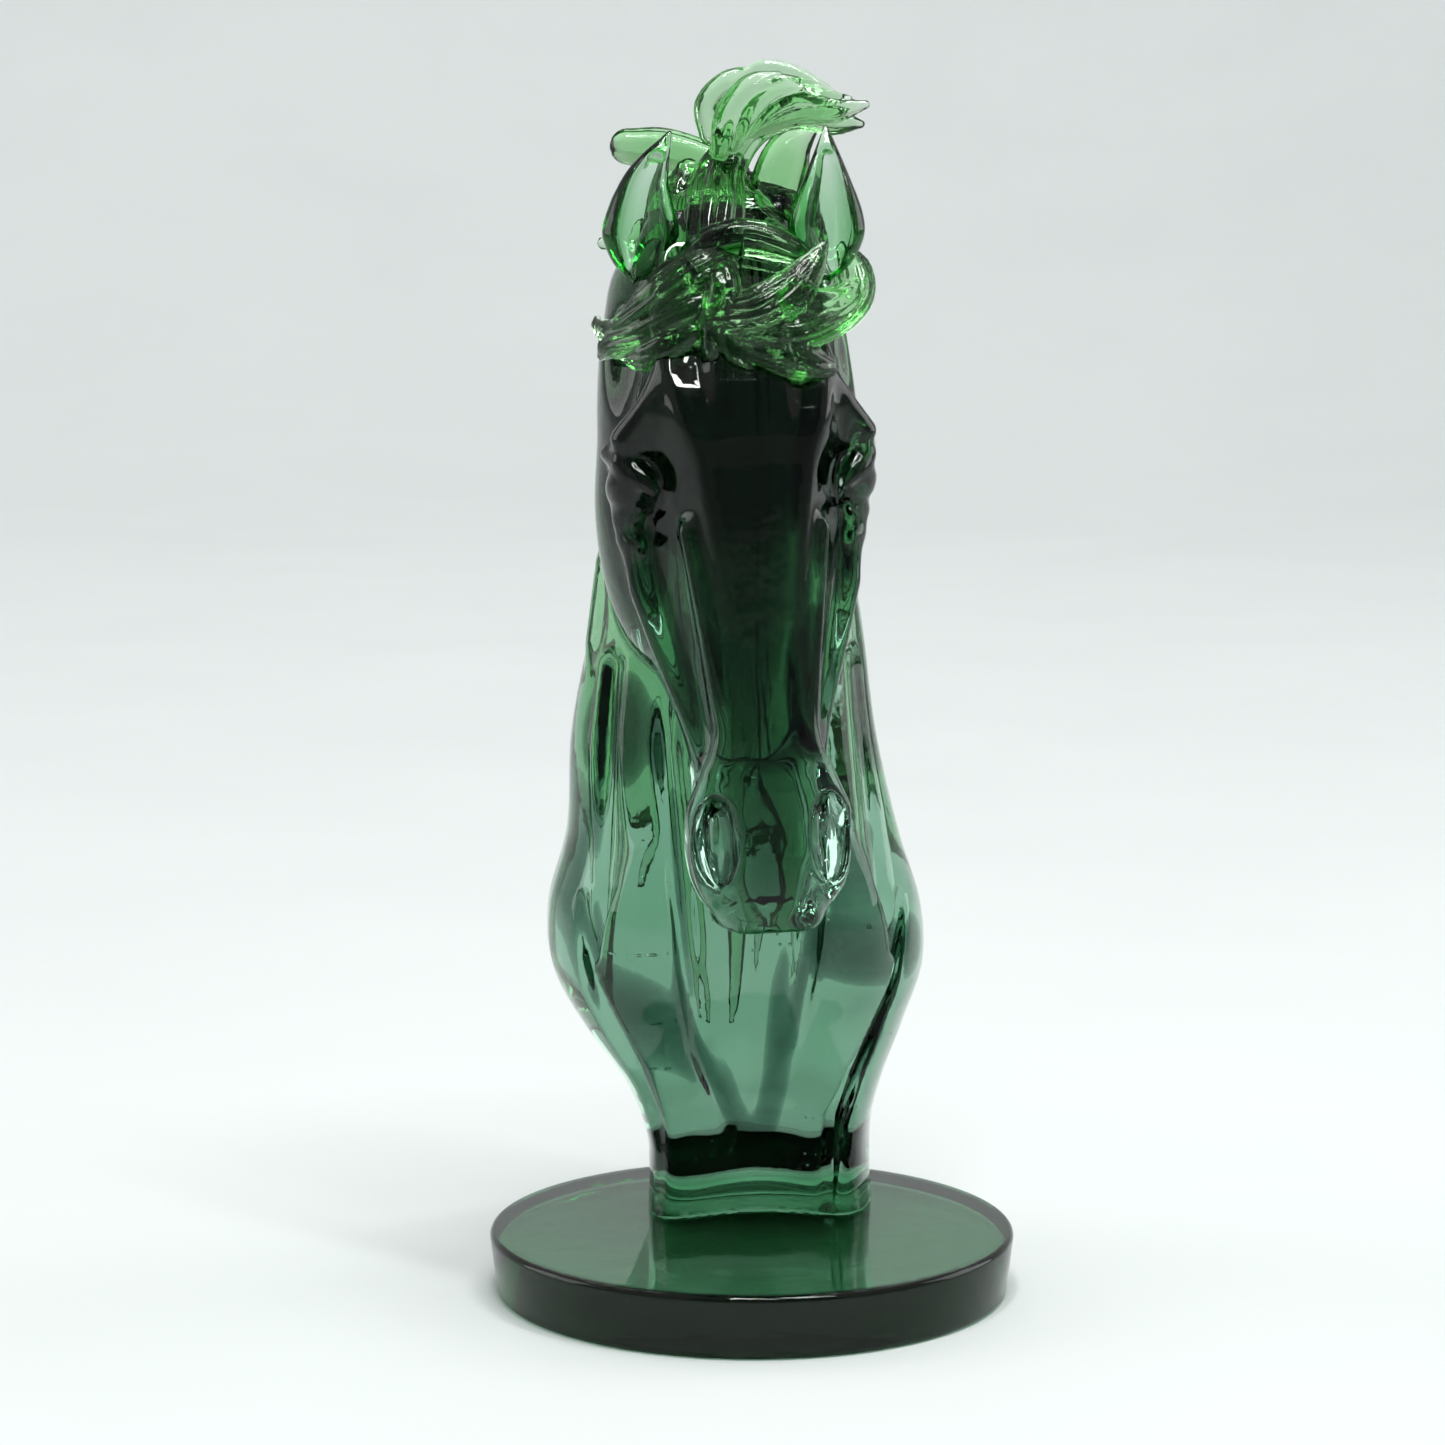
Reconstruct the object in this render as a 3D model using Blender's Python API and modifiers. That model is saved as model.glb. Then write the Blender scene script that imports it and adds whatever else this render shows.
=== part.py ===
"""Horse head cast in clear green resin and bonded to a round plinth: one object for each cast piece.

Lengths are millimetres and become metres where a mesh is made. The chest faces -Y, +Z is up, and the
origin is the middle of the plinth's underside. The head has a frame of its own: x to the side, f forward
out of the face, and s down the face from the poll, the point between the ears.
"""

import math

import bmesh
import bpy
from mathutils import Matrix, Vector

MM = 0.001

# Plinth
BASE_RADIUS = 50.0
BASE_THICKNESS = 12.0
BASE_DRAFT = 1.2  # the underside is this much smaller than the top, all round
BASE_EDGE = 0.8  # rounding of both rims

# Bust
POLL_HEIGHT = 186.0  # plinth's top to the poll
NECK_WIDTH = 71.2  # across the chest, at its widest
HEAD_LENGTH = 129.0  # poll to lip
HEAD_WIDTH = 49.0  # across the brows
FACE_LEAN = math.radians(15.4)  # how far the face leans forward of the vertical as it goes down
HEAD_TURN = math.radians(5.0)  # towards +X
HEAD_ROLL = math.radians(1.5)  # muzzle towards +X
TURN_AXIS = Vector((-6.0, 12.0))  # where the head turns, in plan
POLL_FORWARD = 7.0  # poll in front of that axis

# Ears
EAR_LENGTH = 32.0  # root to tip, the root sunk in the head
EAR_WIDTH = 14.2
EAR_DEPTH = 9.9
EAR_WALL = 2.4
EAR_SPACING = 34.0  # between the middles of the two roots

# Ear outline going up: share of the length, share of the width, share of the depth
EAR_OUTLINE = (
    (0.0, 0.5, 0.6), (0.12, 0.66, 0.8), (0.26, 0.88, 0.95), (0.42, 1.0, 1.0), (0.58, 0.94, 0.88),
    (0.72, 0.74, 0.7), (0.85, 0.46, 0.48), (0.94, 0.24, 0.28), (1.0, 0.07, 0.1),
)
EAR_OPENING = math.radians(48)  # half angle of the channel in the ear's front
EAR_SIDES = 12
EAR_SUNK = 11.0  # root below the poll
EAR_RAKE = 4.0  # how far the tip stands behind the root

# Joints between pieces
BOND_GAP = 0.3  # adhesive line wherever two cast pieces meet

# What the section tables and points below are drawn for; a changed size above stretches them
DRAWN_POLL_HEIGHT = 186.0
DRAWN_NECK_WIDTH = 71.2
DRAWN_HEAD_LENGTH = 129.0
DRAWN_HEAD_WIDTH = 49.0

TALL = POLL_HEIGHT / DRAWN_POLL_HEIGHT
BROAD = NECK_WIDTH / DRAWN_NECK_WIDTH
LONG = HEAD_LENGTH / DRAWN_HEAD_LENGTH
WIDE = HEAD_WIDTH / DRAWN_HEAD_WIDTH

# Neck sections going up: height above the plinth, middle, front, back, half width, squareness,
# depth and half width of the hollow down the front, narrowing of the front, sideways shear
NECK_SECTIONS = (
    (-6, 1.2, 2.5, 31, 21.8, 6.5, 11, 12, 0.13, 0.14),
    (0, 1.2, 2.5, 31, 21.8, 6.5, 11, 12, 0.13, 0.14),
    (3.5, 1.2, 2.3, 31.5, 21.7, 6.4, 11, 12, 0.13, 0.135),
    (6, 1.2, 2, 34.5, 21.6, 6.3, 11, 12, 0.13, 0.13),
    (9, 1.2, 1.6, 39.5, 21.7, 6.2, 11, 12, 0.13, 0.12),
    (12.5, 1.2, 1, 45.3, 21.9, 6, 11, 12, 0.13, 0.11),
    (16, 1, 0, 49, 22.6, 5.8, 11, 12, 0.14, 0.1),
    (24, 0.6, -2.4, 50.3, 25.2, 5.3, 10, 11, 0.17, 0.08),
    (36, -0.9, -5.5, 49.5, 31.6, 4.8, 7.5, 10, 0.24, 0.05),
    (48, -1.3, -8, 48.5, 36.2, 4.2, 5, 9, 0.27, 0.02),
    (58, -1.3, -8, 48.5, 36.2, 3.6, 3, 8, 0.25, 0),
    (72, -1.6, -6, 49, 32.4, 3, 1.5, 8, 0.2, 0),
    (92, -3.3, -1, 47.5, 29.5, 2.7, 0, 8, 0.12, 0),
    (112, -2.6, 5, 45.5, 26.4, 2.4, 0, 8, 0.06, 0),
    (132, -2.4, 9, 42, 23, 2.3, 0, 8, 0, 0),
    (152, -2.6, 9, 36, 20.5, 2.3, 0, 8, 0, 0),
    (170, -3.4, 5, 29, 19, 2.3, 0, 8, 0, 0),
    (182, -3.6, 1, 21, 15, 2.3, 0, 8, 0, 0),
    (188, -3.6, 3, 15, 8, 2.3, 0, 8, 0, 0),
)
NECK_LEVELS = 56
NECK_SIDES = 48
SHEAR_REACH = 24.0

# Head sections going down the face: s, front, back, then half widths from the jaw to the nose bone
HEAD_SECTIONS = (
    (-6, 4, 12, 8, 13, 13, 8),
    (0, 9, 20, 13, 19, 20, 12),
    (12, 14.5, 26, 15, 24, 25, 15),
    (24, 19, 30, 16, 27, 26, 15.5),
    (36, 20.5, 33, 16, 29, 25, 13.5),
    (46, 19, 34, 16, 31, 21.5, 10.5),
    (56, 17.5, 33, 15, 30, 19, 8.7),
    (70, 15.5, 27, 12, 27, 16, 6.9),
    (82, 14, 21, 9, 20, 13, 6.4),
    (94, 13, 17, 7.5, 15.5, 11.5, 6.4),
    (106, 12, 15, 8, 15, 13.5, 7.2),
    (116, 10.5, 14, 8, 13.5, 14, 7.5),
    (124, 8.8, 12, 7, 11, 11.8, 7.2),
    (129, 7.5, 10, 6, 9, 9.5, 7.0),
)
HEAD_LEVELS = 32
HEAD_SIDES = 14
FRONT_STEPS = 6

# Rounded masses of each side of the head: centre (x, f, s) and half sizes
HEAD_MASSES = (
    ((14, -15, 50), (10.4, 17, 25.5)),  # cheek
    ((19.2, 3, 45.5), (6, 8, 5.6)),  # eyeball
    ((10, 3, 112), (5.2, 8.5, 11.5)),  # nostril wing
    ((2, -10, 119), (7, 6, 8)),  # chin
)

# Ridges of each side of the head: points (x, f, s, radius)
HEAD_RIDGES = (
    ((21.5, 9, 38, 3.2), (18, 12.5, 33, 2.4), (9, 13.5, 22, 1.4)),  # brow
    ((15.5, 11.4, 51.5, 0.9), (19.4, 10.6, 46.5, 1.5), (22.4, 8, 41.8, 2.2), (23.6, 3, 39.2, 2.1),
     (22.8, -3, 39.5, 1.2)),  # upper lid
    ((16, 10.2, 52.5, 0.9), (19.9, 6, 52, 1.2), (22.2, 1, 50.8, 1.3), (22.6, -3.5, 46.5, 0.9)),  # lower lid
    ((20.2, 0, 52, 2.2), (18.6, -0.5, 64, 2.4), (15.4, 0, 76, 2.2), (12.4, 1, 87, 1.8), (10, 2, 97, 1.2)),
)

# Hollows of each side of the head: points (x, f, s, radius)
HEAD_HOLLOWS = (
    ((22, 10.5, 53, 1.6), (20, 10.5, 64, 2.8), (17.6, 9, 78, 2.6), (16, 8, 88, 1.4)),  # beside the nose
    ((26, 6, 47, 2.0), (26.5, 2, 46, 2.0)),  # eye socket
)
NOSTRIL = ((10.6, 10.5, 112.5), (3.3, 7.6, 7.6))
TEMPLE = ((23.5, 8, 22), (4.5, 6, 8))

# Grooves of each side of the neck and chest: points (x, y, height above the plinth, radius), x from the
# middle of the windpipe
CHEST_GROOVES = (
    ((16, 3, 116, 1.4), (14.5, 0, 92, 1.9), (12.5, -6.6, 68, 2.1), (10.9, -7.9, 52, 2.1),
     (8.6, -3.8, 36, 1.9), (4.5, 1.2, 26, 1.6), (1.5, 4.8, 19, 1.2)),  # beside the windpipe
    ((30.5, 5, 62, 1.2), (26.8, 1.6, 43, 1.8), (20.8, 1, 30, 2.0), (17.6, 3.2, 20, 1.8),
     (17, 5, 12, 1.2)),  # inside the shoulder's edge
    ((23.5, 12.5, 106, 1.2), (25.5, 5.6, 80, 2.1), (26.5, -0.4, 66, 2.0), (27, 1, 54, 1.2)),  # neck
)
CHEST_MIDDLE = -1.5
BREAST = ((18.5, 0, 58), (8, 8.5, 15))  # centre and half sizes of each side's swelling
LYING_LOCK = ((-20.5, 26, 138, 2.0), (-24.2, 24, 125, 3.2), (-26.4, 21, 110, 3.0), (-26, 18, 98, 1.4))

# Flat facet over each eye, leaning back from the nose's plane
FACET_SLOPE = 0.25  # fall of its front for each millimetre up the face
FACET_FOOT = 38.0  # down the face, where it starts
FACET_HEAD = (13.0, 21.0)  # it fades between these, under the forelock
FACET_SIDES = (6.5, 23.0)  # half widths between which it lies
FACET_FADE = 2.5

# Hair: each strand is points (x, y, z, radius) from the poll
FORELOCK_LEFT = (
    ((-1.6, -16.6, -3.4, 2.6), (-6.0, -19.2, -4.4, 3.8), (-11.4, -19.7, -7.9, 4.0),
     (-16.8, -17.2, -12.3, 3.6), (-21.4, -11.8, -15.5, 2.8), (-24.5, -7.5, -14.5, 1.6),
     (-24.9, -5.5, -13.1, 0.6)),
    ((-6.0, -21.2, -10.1, 2.8), (-11.5, -21.2, -12.6, 3.4), (-17.7, -17.2, -16.0, 3.2),
     (-22.5, -11.7, -18.0, 2.6), (-24.2, -8.6, -20.0, 1.0)),
    ((-9.1, -22.9, -15.6, 2.4), (-13.5, -21.5, -18.0, 3.0), (-17.8, -17.2, -20.0, 2.4),
     (-21.1, -12.8, -18.7, 1.0)),
    ((-6.6, -15.1, -1.9, 2.4), (-11.8, -16.7, -5.1, 2.8), (-16.2, -16.3, -8.8, 2.4),
     (-19.3, -13.0, -11.8, 1.2)),
)
FORELOCK_RIGHT = (
    ((-6.4, -23.2, -13.0, 2.2), (-2.3, -24.5, -12.5, 4.0), (3.3, -26.0, -11.3, 4.6),
     (8.9, -24.5, -7.8, 4.0), (13.2, -21.9, -3.1, 2.6), (15.6, -20.1, 0.7, 0.8)),
    ((-4.6, -17.3, -2.6, 3.2), (-3.1, -21.4, -6.6, 3.6), (-4.0, -23.4, -10.7, 3.0),
     (-5.1, -23.3, -13.8, 1.8)),
    ((-4.9, -23.3, -14.3, 2.0), (1.6, -25.9, -15.3, 2.6), (10.6, -25.7, -15.3, 3.0),
     (17.6, -20.3, -12.7, 3.2), (22.0, -15.7, -8.9, 3.1), (22.6, -11.8, -4.3, 2.7),
     (20.4, -10.6, -0.6, 1.4)),
    ((9.1, -22.5, -9.3, 2.6), (14.8, -21.0, -10.1, 2.8), (20.3, -17.5, -8.8, 2.6),
     (23.7, -13.7, -6.4, 1.4)),
    ((10.8, -23.7, -12.5, 2.4), (16.7, -20.2, -11.6, 2.6), (22.0, -15.6, -8.9, 1.6)),
    ((-1.1, -24.6, -17.3, 2.0), (4.8, -26.1, -18.2, 3.4), (10.7, -25.7, -20.0, 3.8),
     (15.5, -23.1, -21.3, 2.4), (17.8, -20.3, -20.3, 0.8)),
    ((-2.4, -25.0, -15.5, 1.8), (-1.2, -26.1, -19.0, 1.8), (1.5, -26.4, -21.4, 0.6)),
    ((-5.2, -24.3, -15.5, 1.8), (-5.3, -25.3, -18.5, 1.6), (-4.6, -25.3, -21.1, 0.6)),
)
CREST_CURL = (
    ((-7.9, -13.0, -1.6, 2.4), (-3.8, -14.4, 0.8, 3.2), (1.7, -14.8, 1.7, 3.4), (8.0, -15.4, 0.2, 3.0),
     (14.5, -15.0, -2.7, 1.6)),
    ((-4.3, -13.3, -3.1, 5.2), (-2.8, -4.4, 5.7, 5.6), (-0.5, 4.4, 14.3, 4.2), (5.0, 7.0, 21.3, 3.2),
     (13.0, 6.3, 24.0, 2.6), (20.3, 4.6, 22.9, 2.6), (25.0, 3.1, 22.3, 0.8)),
    ((-5.9, -6.1, 2.1, 2.6), (-4.6, 1.8, 11.1, 2.8), (-1.0, 3.5, 19.4, 0.8)),
    ((-3.1, 4.7, 20.6, 2.0), (-3.6, 4.8, 25.8, 2.3), (0.2, 5.5, 30.0, 2.2), (5.6, 5.9, 31.8, 1.4)),
    ((-1.4, 1.4, 17.9, 2.0), (0.2, 1.6, 24.2, 2.5), (4.4, 1.6, 29.3, 2.3), (9.0, 2.4, 30.8, 1.4)),
    ((0.6, 3.4, 18.9, 2.2), (3.6, 1.4, 25.0, 2.5), (8.6, 1.0, 29.0, 2.5), (14.5, 1.8, 29.2, 1.6)),
    ((2.6, 5.2, 20.6, 2.2), (7.0, 2.2, 25.2, 2.6), (12.6, 1.4, 27.4, 2.6), (18.2, 2.0, 26.8, 2.0),
     (22.6, 2.4, 26.9, 0.8)),
    ((1.7, 6.2, 29.0, 1.6), (6.2, 6.0, 32.2, 1.9), (11.4, 5.1, 31.6, 2.0), (16.4, 4.3, 29.2, 1.8),
     (20.6, 3.7, 27.0, 1.0)),
    ((4.2, 6.1, 21.0, 2.2), (9.0, 4.3, 23.7, 2.6), (14.5, 2.8, 24.8, 2.6), (20.4, 1.6, 24.9, 2.2),
     (25.7, 1.1, 25.9, 0.8)),
)
MANE = (
    ((8.2, 0.7, 1.0, 4.0), (9.2, 5.6, 9.3, 5.2), (12.1, 8.3, 17.2, 4.4), (16.2, 8.0, 21.7, 1.6)),
    ((-7.1, 4.0, 1.9, 4.2), (-7.9, 7.1, 8.8, 4.2), (-6.6, 10.0, 13.6, 2.6)),
    ((-9.5, 14.0, 0.0, 3.0), (-17.0, 16.5, 1.0, 2.4), (-22.5, 17.0, 0.0, 1.2)),
    ((4.0, 6.0, 3.0, 5.0), (2.0, 15.0, 9.0, 6.0), (1.0, 22.5, 3.5, 6.2), (0.5, 27.0, -14.0, 6.0),
     (1.0, 32.5, -32.0, 5.6), (1.5, 38.5, -56.0, 5.2), (1.5, 41.0, -80.0, 4.8), (2.0, 42.5, -98.0, 4.4),
     (3.0, 44.0, -118.0, 4.2), (1.0, 43.8, -136.0, 3.4), (-3.0, 43.0, -150.0, 1.0)),
    ((-2.0, 7.0, 3.0, 5.0), (-4.5, 15.5, 7.0, 5.8), (-7.0, 22.5, 0.0, 6.0), (-7.5, 26.5, -16.0, 5.8),
     (-7.5, 32.5, -36.0, 5.2), (-7.0, 38.5, -58.0, 4.6), (-6.5, 41.5, -80.0, 4.2),
     (-7.0, 42.5, -98.0, 3.8), (-8.0, 44.0, -116.0, 3.4), (-9.5, 43.2, -132.0, 1.0)),
    ((-5.0, 8.0, 1.0, 4.8), (-11.0, 15.0, 0.0, 5.0), (-14.5, 19.5, -7.0, 4.8),
     (-15.5, 24.0, -20.0, 4.6), (-16.0, 30.5, -40.0, 4.4), (-15.0, 36.5, -62.0, 4.0),
     (-15.0, 39.5, -84.0, 3.8), (-16.5, 41.5, -104.0, 3.6), (-19.0, 41.0, -120.0, 1.0)),
    ((7.0, 7.0, 2.0, 5.0), (9.0, 15.5, 5.0, 5.8), (9.5, 22.0, -3.0, 6.0), (9.5, 27.0, -18.0, 5.6),
     (10.0, 33.0, -38.0, 5.0), (9.5, 38.5, -60.0, 4.6), (9.0, 41.0, -82.0, 4.2),
     (10.5, 43.0, -104.0, 4.0), (12.0, 43.5, -124.0, 3.2), (10.0, 42.8, -140.0, 1.0)),
    ((10.0, 8.0, 0.0, 4.8), (16.0, 14.5, 0.0, 5.2), (19.5, 18.5, -8.0, 5.0), (20.0, 24.0, -22.0, 4.6),
     (18.5, 30.5, -42.0, 4.2), (17.0, 36.5, -62.0, 4.0), (17.0, 39.5, -84.0, 3.8),
     (20.0, 41.5, -106.0, 3.2), (23.0, 40.0, -122.0, 1.0)),
)
SIDE_LOCK = (
    ((3.2, 7.5, 9.0, 3.0), (-2.2, 12.0, 14.5, 3.8), (-10.7, 14.0, 17.4, 4.2), (-17.8, 14.0, 18.2, 3.4)),
)

BUST_VOXEL = 1.0
HAIR_VOXEL = 0.8
HAIR_TIP = 1.1  # least radius of a strand
BUST_TRIANGLES = 5200
HAIR_TRIANGLES = 850
MANE_TRIANGLES = 1300


def clear_scene():
    """Removes every object that is in the scene."""
    for obj in list(bpy.data.objects):
        bpy.data.objects.remove(obj)


def new_collection(name):
    """Adds a collection to the scene."""
    collection = bpy.data.collections.new(name)
    bpy.context.scene.collection.children.link(collection)
    return collection


def resin(name, colour, roughness):
    """A clear resin tinted all through."""
    material = bpy.data.materials.new(name)
    material.use_nodes = True
    shader = material.node_tree.nodes["Principled BSDF"]
    shader.inputs["Base Color"].default_value = (*colour, 1.0)
    shader.inputs["Roughness"].default_value = roughness
    shader.inputs["Metallic"].default_value = 0.0
    shader.inputs["Transmission Weight"].default_value = 0.7
    material.diffuse_color = (*colour, 1.0)
    return material


def spline_value(table, column, place):
    """One column of a section table at a place between its stations, by cubic interpolation."""
    stations = [row[0] for row in table]
    last = len(table) - 2
    index = next((i for i in range(last) if place < stations[i + 1]), last)
    before, after = table[max(index - 1, 0)], table[min(index + 2, last + 1)]
    start, end = table[index], table[index + 1]
    span = end[0] - start[0]
    share = (place - start[0]) / span
    leave = (end[column] - before[column]) / (end[0] - before[0]) * span
    arrive = (after[column] - start[column]) / (after[0] - start[0]) * span
    square, cube = share**2, share**3
    return (
        (2 * cube - 3 * square + 1) * start[column]
        + (cube - 2 * square + share) * leave
        + (3 * square - 2 * cube) * end[column]
        + (cube - square) * arrive
    )


def sections(table, levels):
    """Rows of a section table at evenly spaced places from its first station to its last."""
    first, last = table[0][0], table[-1][0]
    places = [first + (last - first) * i / (levels - 1) for i in range(levels)]
    columns = range(1, len(table[0]))
    return [(place, *(spline_value(table, column, place) for column in columns)) for place in places]


def through(points, steps=4):
    """A smooth run of points through the given ones, every one a tuple of the same length."""
    table = [(float(i), *point) for i, point in enumerate(points)]
    rows = sections(table, (len(points) - 1) * steps + 1)
    return [row[1:] for row in rows]


def head_frame():
    """Matrix from the head's own frame (x, f, s) to the model's."""
    lean_cos, lean_sin = math.cos(FACE_LEAN), math.sin(FACE_LEAN)
    axes = Matrix(((1, 0, 0, 0), (0, -lean_cos, -lean_sin, 0), (0, lean_sin, -lean_cos, 0), (0, 0, 0, 1)))
    return (
        Matrix.Translation((TURN_AXIS.x, TURN_AXIS.y, BASE_THICKNESS + POLL_HEIGHT))
        @ Matrix.Rotation(HEAD_TURN, 4, "Z")
        @ Matrix.Rotation(-HEAD_ROLL, 4, "Y")
        @ Matrix.Translation((0, -POLL_FORWARD, 0))
        @ axes
    )


HEAD_FRAME = head_frame()
POLL = Vector((TURN_AXIS.x + 2.0, TURN_AXIS.y - POLL_FORWARD, BASE_THICKNESS + POLL_HEIGHT))


def head_point(x, f, s):
    """Model place of a point of the head."""
    return HEAD_FRAME @ Vector((x * WIDE, f, s * LONG))


def hair_point(x, y, z):
    """Model place of a point measured from the poll."""
    return POLL + Vector((x * WIDE, y, z))


def neck_point(x, y, height):
    """Model place of a point measured from the middle of the plinth's top."""
    return Vector((x * BROAD, y, BASE_THICKNESS + height * TALL))


def add_object(name, mesh, collection):
    """Links a mesh to the scene as a new object."""
    obj = bpy.data.objects.new(name, mesh)
    collection.objects.link(obj)
    return obj


def mesh_from(name, build):
    """A mesh in metres from a bmesh that a function fills in millimetres, with its faces turned outwards."""
    shape = bmesh.new()
    build(shape)
    bmesh.ops.recalc_face_normals(shape, faces=shape.faces)
    bmesh.ops.scale(shape, vec=(MM, MM, MM), verts=shape.verts)
    mesh = bpy.data.meshes.new(name)
    shape.to_mesh(mesh)
    shape.free()
    return mesh


def loft(shape, rings):
    """Skins rings of equally many points and closes both ends."""
    rows = [[shape.verts.new(point) for point in ring] for ring in rings]
    for lower, upper in zip(rows, rows[1:]):
        count = len(lower)
        for i in range(count):
            j = (i + 1) % count
            shape.faces.new((lower[i], lower[j], upper[j], upper[i]))
    shape.faces.new(rows[0][::-1])
    shape.faces.new(rows[-1])


def ball(shape, matrix, centre, sizes):
    """An ellipsoid whose half sizes lie along the axes of a frame."""
    placed = matrix @ Matrix.Translation(centre) @ Matrix.Diagonal((*sizes, 1.0))
    bmesh.ops.create_uvsphere(shape, u_segments=24, v_segments=14, radius=1.0, matrix=placed)


def tube(name, points, radii):
    """Mesh of a curve object of changing radius, its caps welded."""
    curve = bpy.data.curves.new(name, "CURVE")
    curve.dimensions = "3D"
    curve.bevel_depth = MM
    curve.bevel_resolution = 2
    curve.use_fill_caps = True
    spline = curve.splines.new("POLY")
    spline.points.add(len(points) - 1)
    for knot, point, radius in zip(spline.points, points, radii):
        knot.co = (*(point * MM), 1.0)
        knot.radius = radius
    guide = bpy.data.objects.new(name, curve)
    bpy.context.scene.collection.objects.link(guide)
    mesh = bpy.data.meshes.new_from_object(guide.evaluated_get(bpy.context.evaluated_depsgraph_get()))
    bpy.data.objects.remove(guide)
    welded = bmesh.new()
    welded.from_mesh(mesh)
    bmesh.ops.remove_doubles(welded, verts=welded.verts, dist=MM * 0.01)
    bmesh.ops.recalc_face_normals(welded, faces=welded.faces)
    welded.to_mesh(mesh)
    welded.free()
    return mesh


def strand(name, points, place):
    """Tube along a smooth path through (x, y, z, radius) points, each put in place by a function."""
    path = through(points)
    return tube(name, [place(*row[:3]) for row in path], [row[3] for row in path])


def merged(name, meshes):
    """One mesh holding every given one, overlaps and all."""
    shape = bmesh.new()
    for mesh in meshes:
        shape.from_mesh(mesh)
    mesh = bpy.data.meshes.new(name)
    shape.to_mesh(mesh)
    shape.free()
    return mesh


def bake(obj):
    """Replaces an object's mesh by what its modifiers make of it."""
    mesh = bpy.data.meshes.new_from_object(obj.evaluated_get(bpy.context.evaluated_depsgraph_get()))
    obj.modifiers.clear()
    obj.data = mesh


def voxel_union(obj, voxel, smoothing):
    """Joins overlapping closed shapes into one skin and rounds the seams."""
    remesh = obj.modifiers.new("union", "REMESH")
    remesh.mode = "VOXEL"
    remesh.voxel_size = voxel * MM
    smooth = obj.modifiers.new("blend", "SMOOTH")
    smooth.factor = 0.5
    smooth.iterations = smoothing
    bake(obj)


def thin_out(obj, triangles):
    """Reduces a mesh of quads to about this many triangles."""
    decimate = obj.modifiers.new("thin_out", "DECIMATE")
    decimate.ratio = min(1.0, triangles / (2 * len(obj.data.polygons)))
    bake(obj)


def cut(obj, cutter):
    """Takes a cutter's solid out of an object."""
    boolean = obj.modifiers.new("cut", "BOOLEAN")
    boolean.operation = "DIFFERENCE"
    boolean.solver = "EXACT"
    boolean.object = cutter
    bake(obj)


def as_cutter(obj):
    """Marks an object as a tool that isn't part of the model."""
    obj.hide_render = True
    obj.display_type = "WIRE"
    return obj


def grown(obj, cutters):
    """A cutter of an object's shape with the adhesive line added all round."""
    copy = as_cutter(add_object(obj.name + "_seat", obj.data.copy(), cutters))
    displace = copy.modifiers.new("adhesive", "DISPLACE")
    displace.strength = BOND_GAP * MM
    displace.mid_level = 0.0
    bake(copy)
    return copy


def keep_largest(obj):
    """Drops the crumbs that a cut leaves, so that the piece stays one body."""
    shape = bmesh.new()
    shape.from_mesh(obj.data)
    left = set(shape.verts)
    islands = []
    while left:
        island = {left.pop()}
        edge_of_island = set(island)
        while edge_of_island:
            near = {edge.other_vert(vert) for vert in edge_of_island for edge in vert.link_edges}
            edge_of_island = near - island
            island |= near
        left -= island
        islands.append(island)
    islands.sort(key=len)
    bmesh.ops.delete(shape, geom=[vert for island in islands[:-1] for vert in island], context="VERTS")
    shape.to_mesh(obj.data)
    shape.free()


def seat(piece, neighbours):
    """Cuts a piece to fit over the pieces that it is bonded to."""
    for neighbour in neighbours:
        cut(piece, neighbour)
    keep_largest(piece)


def base_disc(collection):
    """The plinth, turned from its half profile."""
    foot_radius = BASE_RADIUS - BASE_DRAFT
    rim = [math.radians(angle) for angle in (90, 67.5, 45, 22.5, 0)]
    top = [
        (BASE_RADIUS - BASE_EDGE * (1 - math.cos(angle)), BASE_THICKNESS - BASE_EDGE * (1 - math.sin(angle)))
        for angle in rim
    ]
    bottom = [
        (foot_radius - BASE_EDGE * (1 - math.cos(angle)), BASE_EDGE * (1 - math.sin(angle)))
        for angle in reversed(rim)
    ]
    outline = [(0.0, BASE_THICKNESS), *top, *bottom, (0.0, 0.0)]
    mesh = bpy.data.meshes.new("base_disc")
    points = [(radius * MM, 0.0, height * MM) for radius, height in outline]
    mesh.from_pydata(points, [(i, i + 1) for i in range(len(points) - 1)], [])
    disc = add_object("base_disc", mesh, collection)
    screw = disc.modifiers.new("turn", "SCREW")
    screw.steps = 96
    screw.render_steps = 96
    screw.use_merge_vertices = True
    screw.merge_threshold = 0.00001
    return disc


def neck_rings():
    """Outlines of the neck and chest at its levels, the front hollowed between two columns of muscle."""
    rings = []
    for height, middle, front, back, half, square, hollow, spread, narrow, shear in sections(
        NECK_SECTIONS, NECK_LEVELS
    ):
        centre, depth = (front + back) / 2, (back - front) / 2
        ring = []
        for k in range(NECK_SIDES):
            angle = 2 * math.pi * k / NECK_SIDES
            across, along = math.cos(angle), math.sin(angle)
            reach = (abs(across) ** square + abs(along) ** square) ** (-1 / square)
            frontness = max(0.0, -reach * along)
            x = reach * across * half * (1 - narrow * frontness**1.5)
            y = centre + reach * along * depth
            y += hollow * math.exp(-((x / spread) ** 2)) * frontness
            x += middle + shear * min(max(y - front, 0.0), SHEAR_REACH)
            ring.append(neck_point(x, y, height))
        rings.append(ring)
    return rings


def facet_depth(x, s):
    """How far the front is lowered over the eyes, at half width x and s down the face."""
    inner = min(max((x - FACET_SIDES[0]) / FACET_FADE, 0), 1)
    outer = min(max((FACET_SIDES[1] - x) / FACET_FADE, 0), 1)
    below = min(max((s - FACET_HEAD[0]) / (FACET_HEAD[1] - FACET_HEAD[0]), 0), 1)
    return FACET_SLOPE * inner * outer * below * min(max(FACET_FOOT - s, 0), 20)


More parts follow.
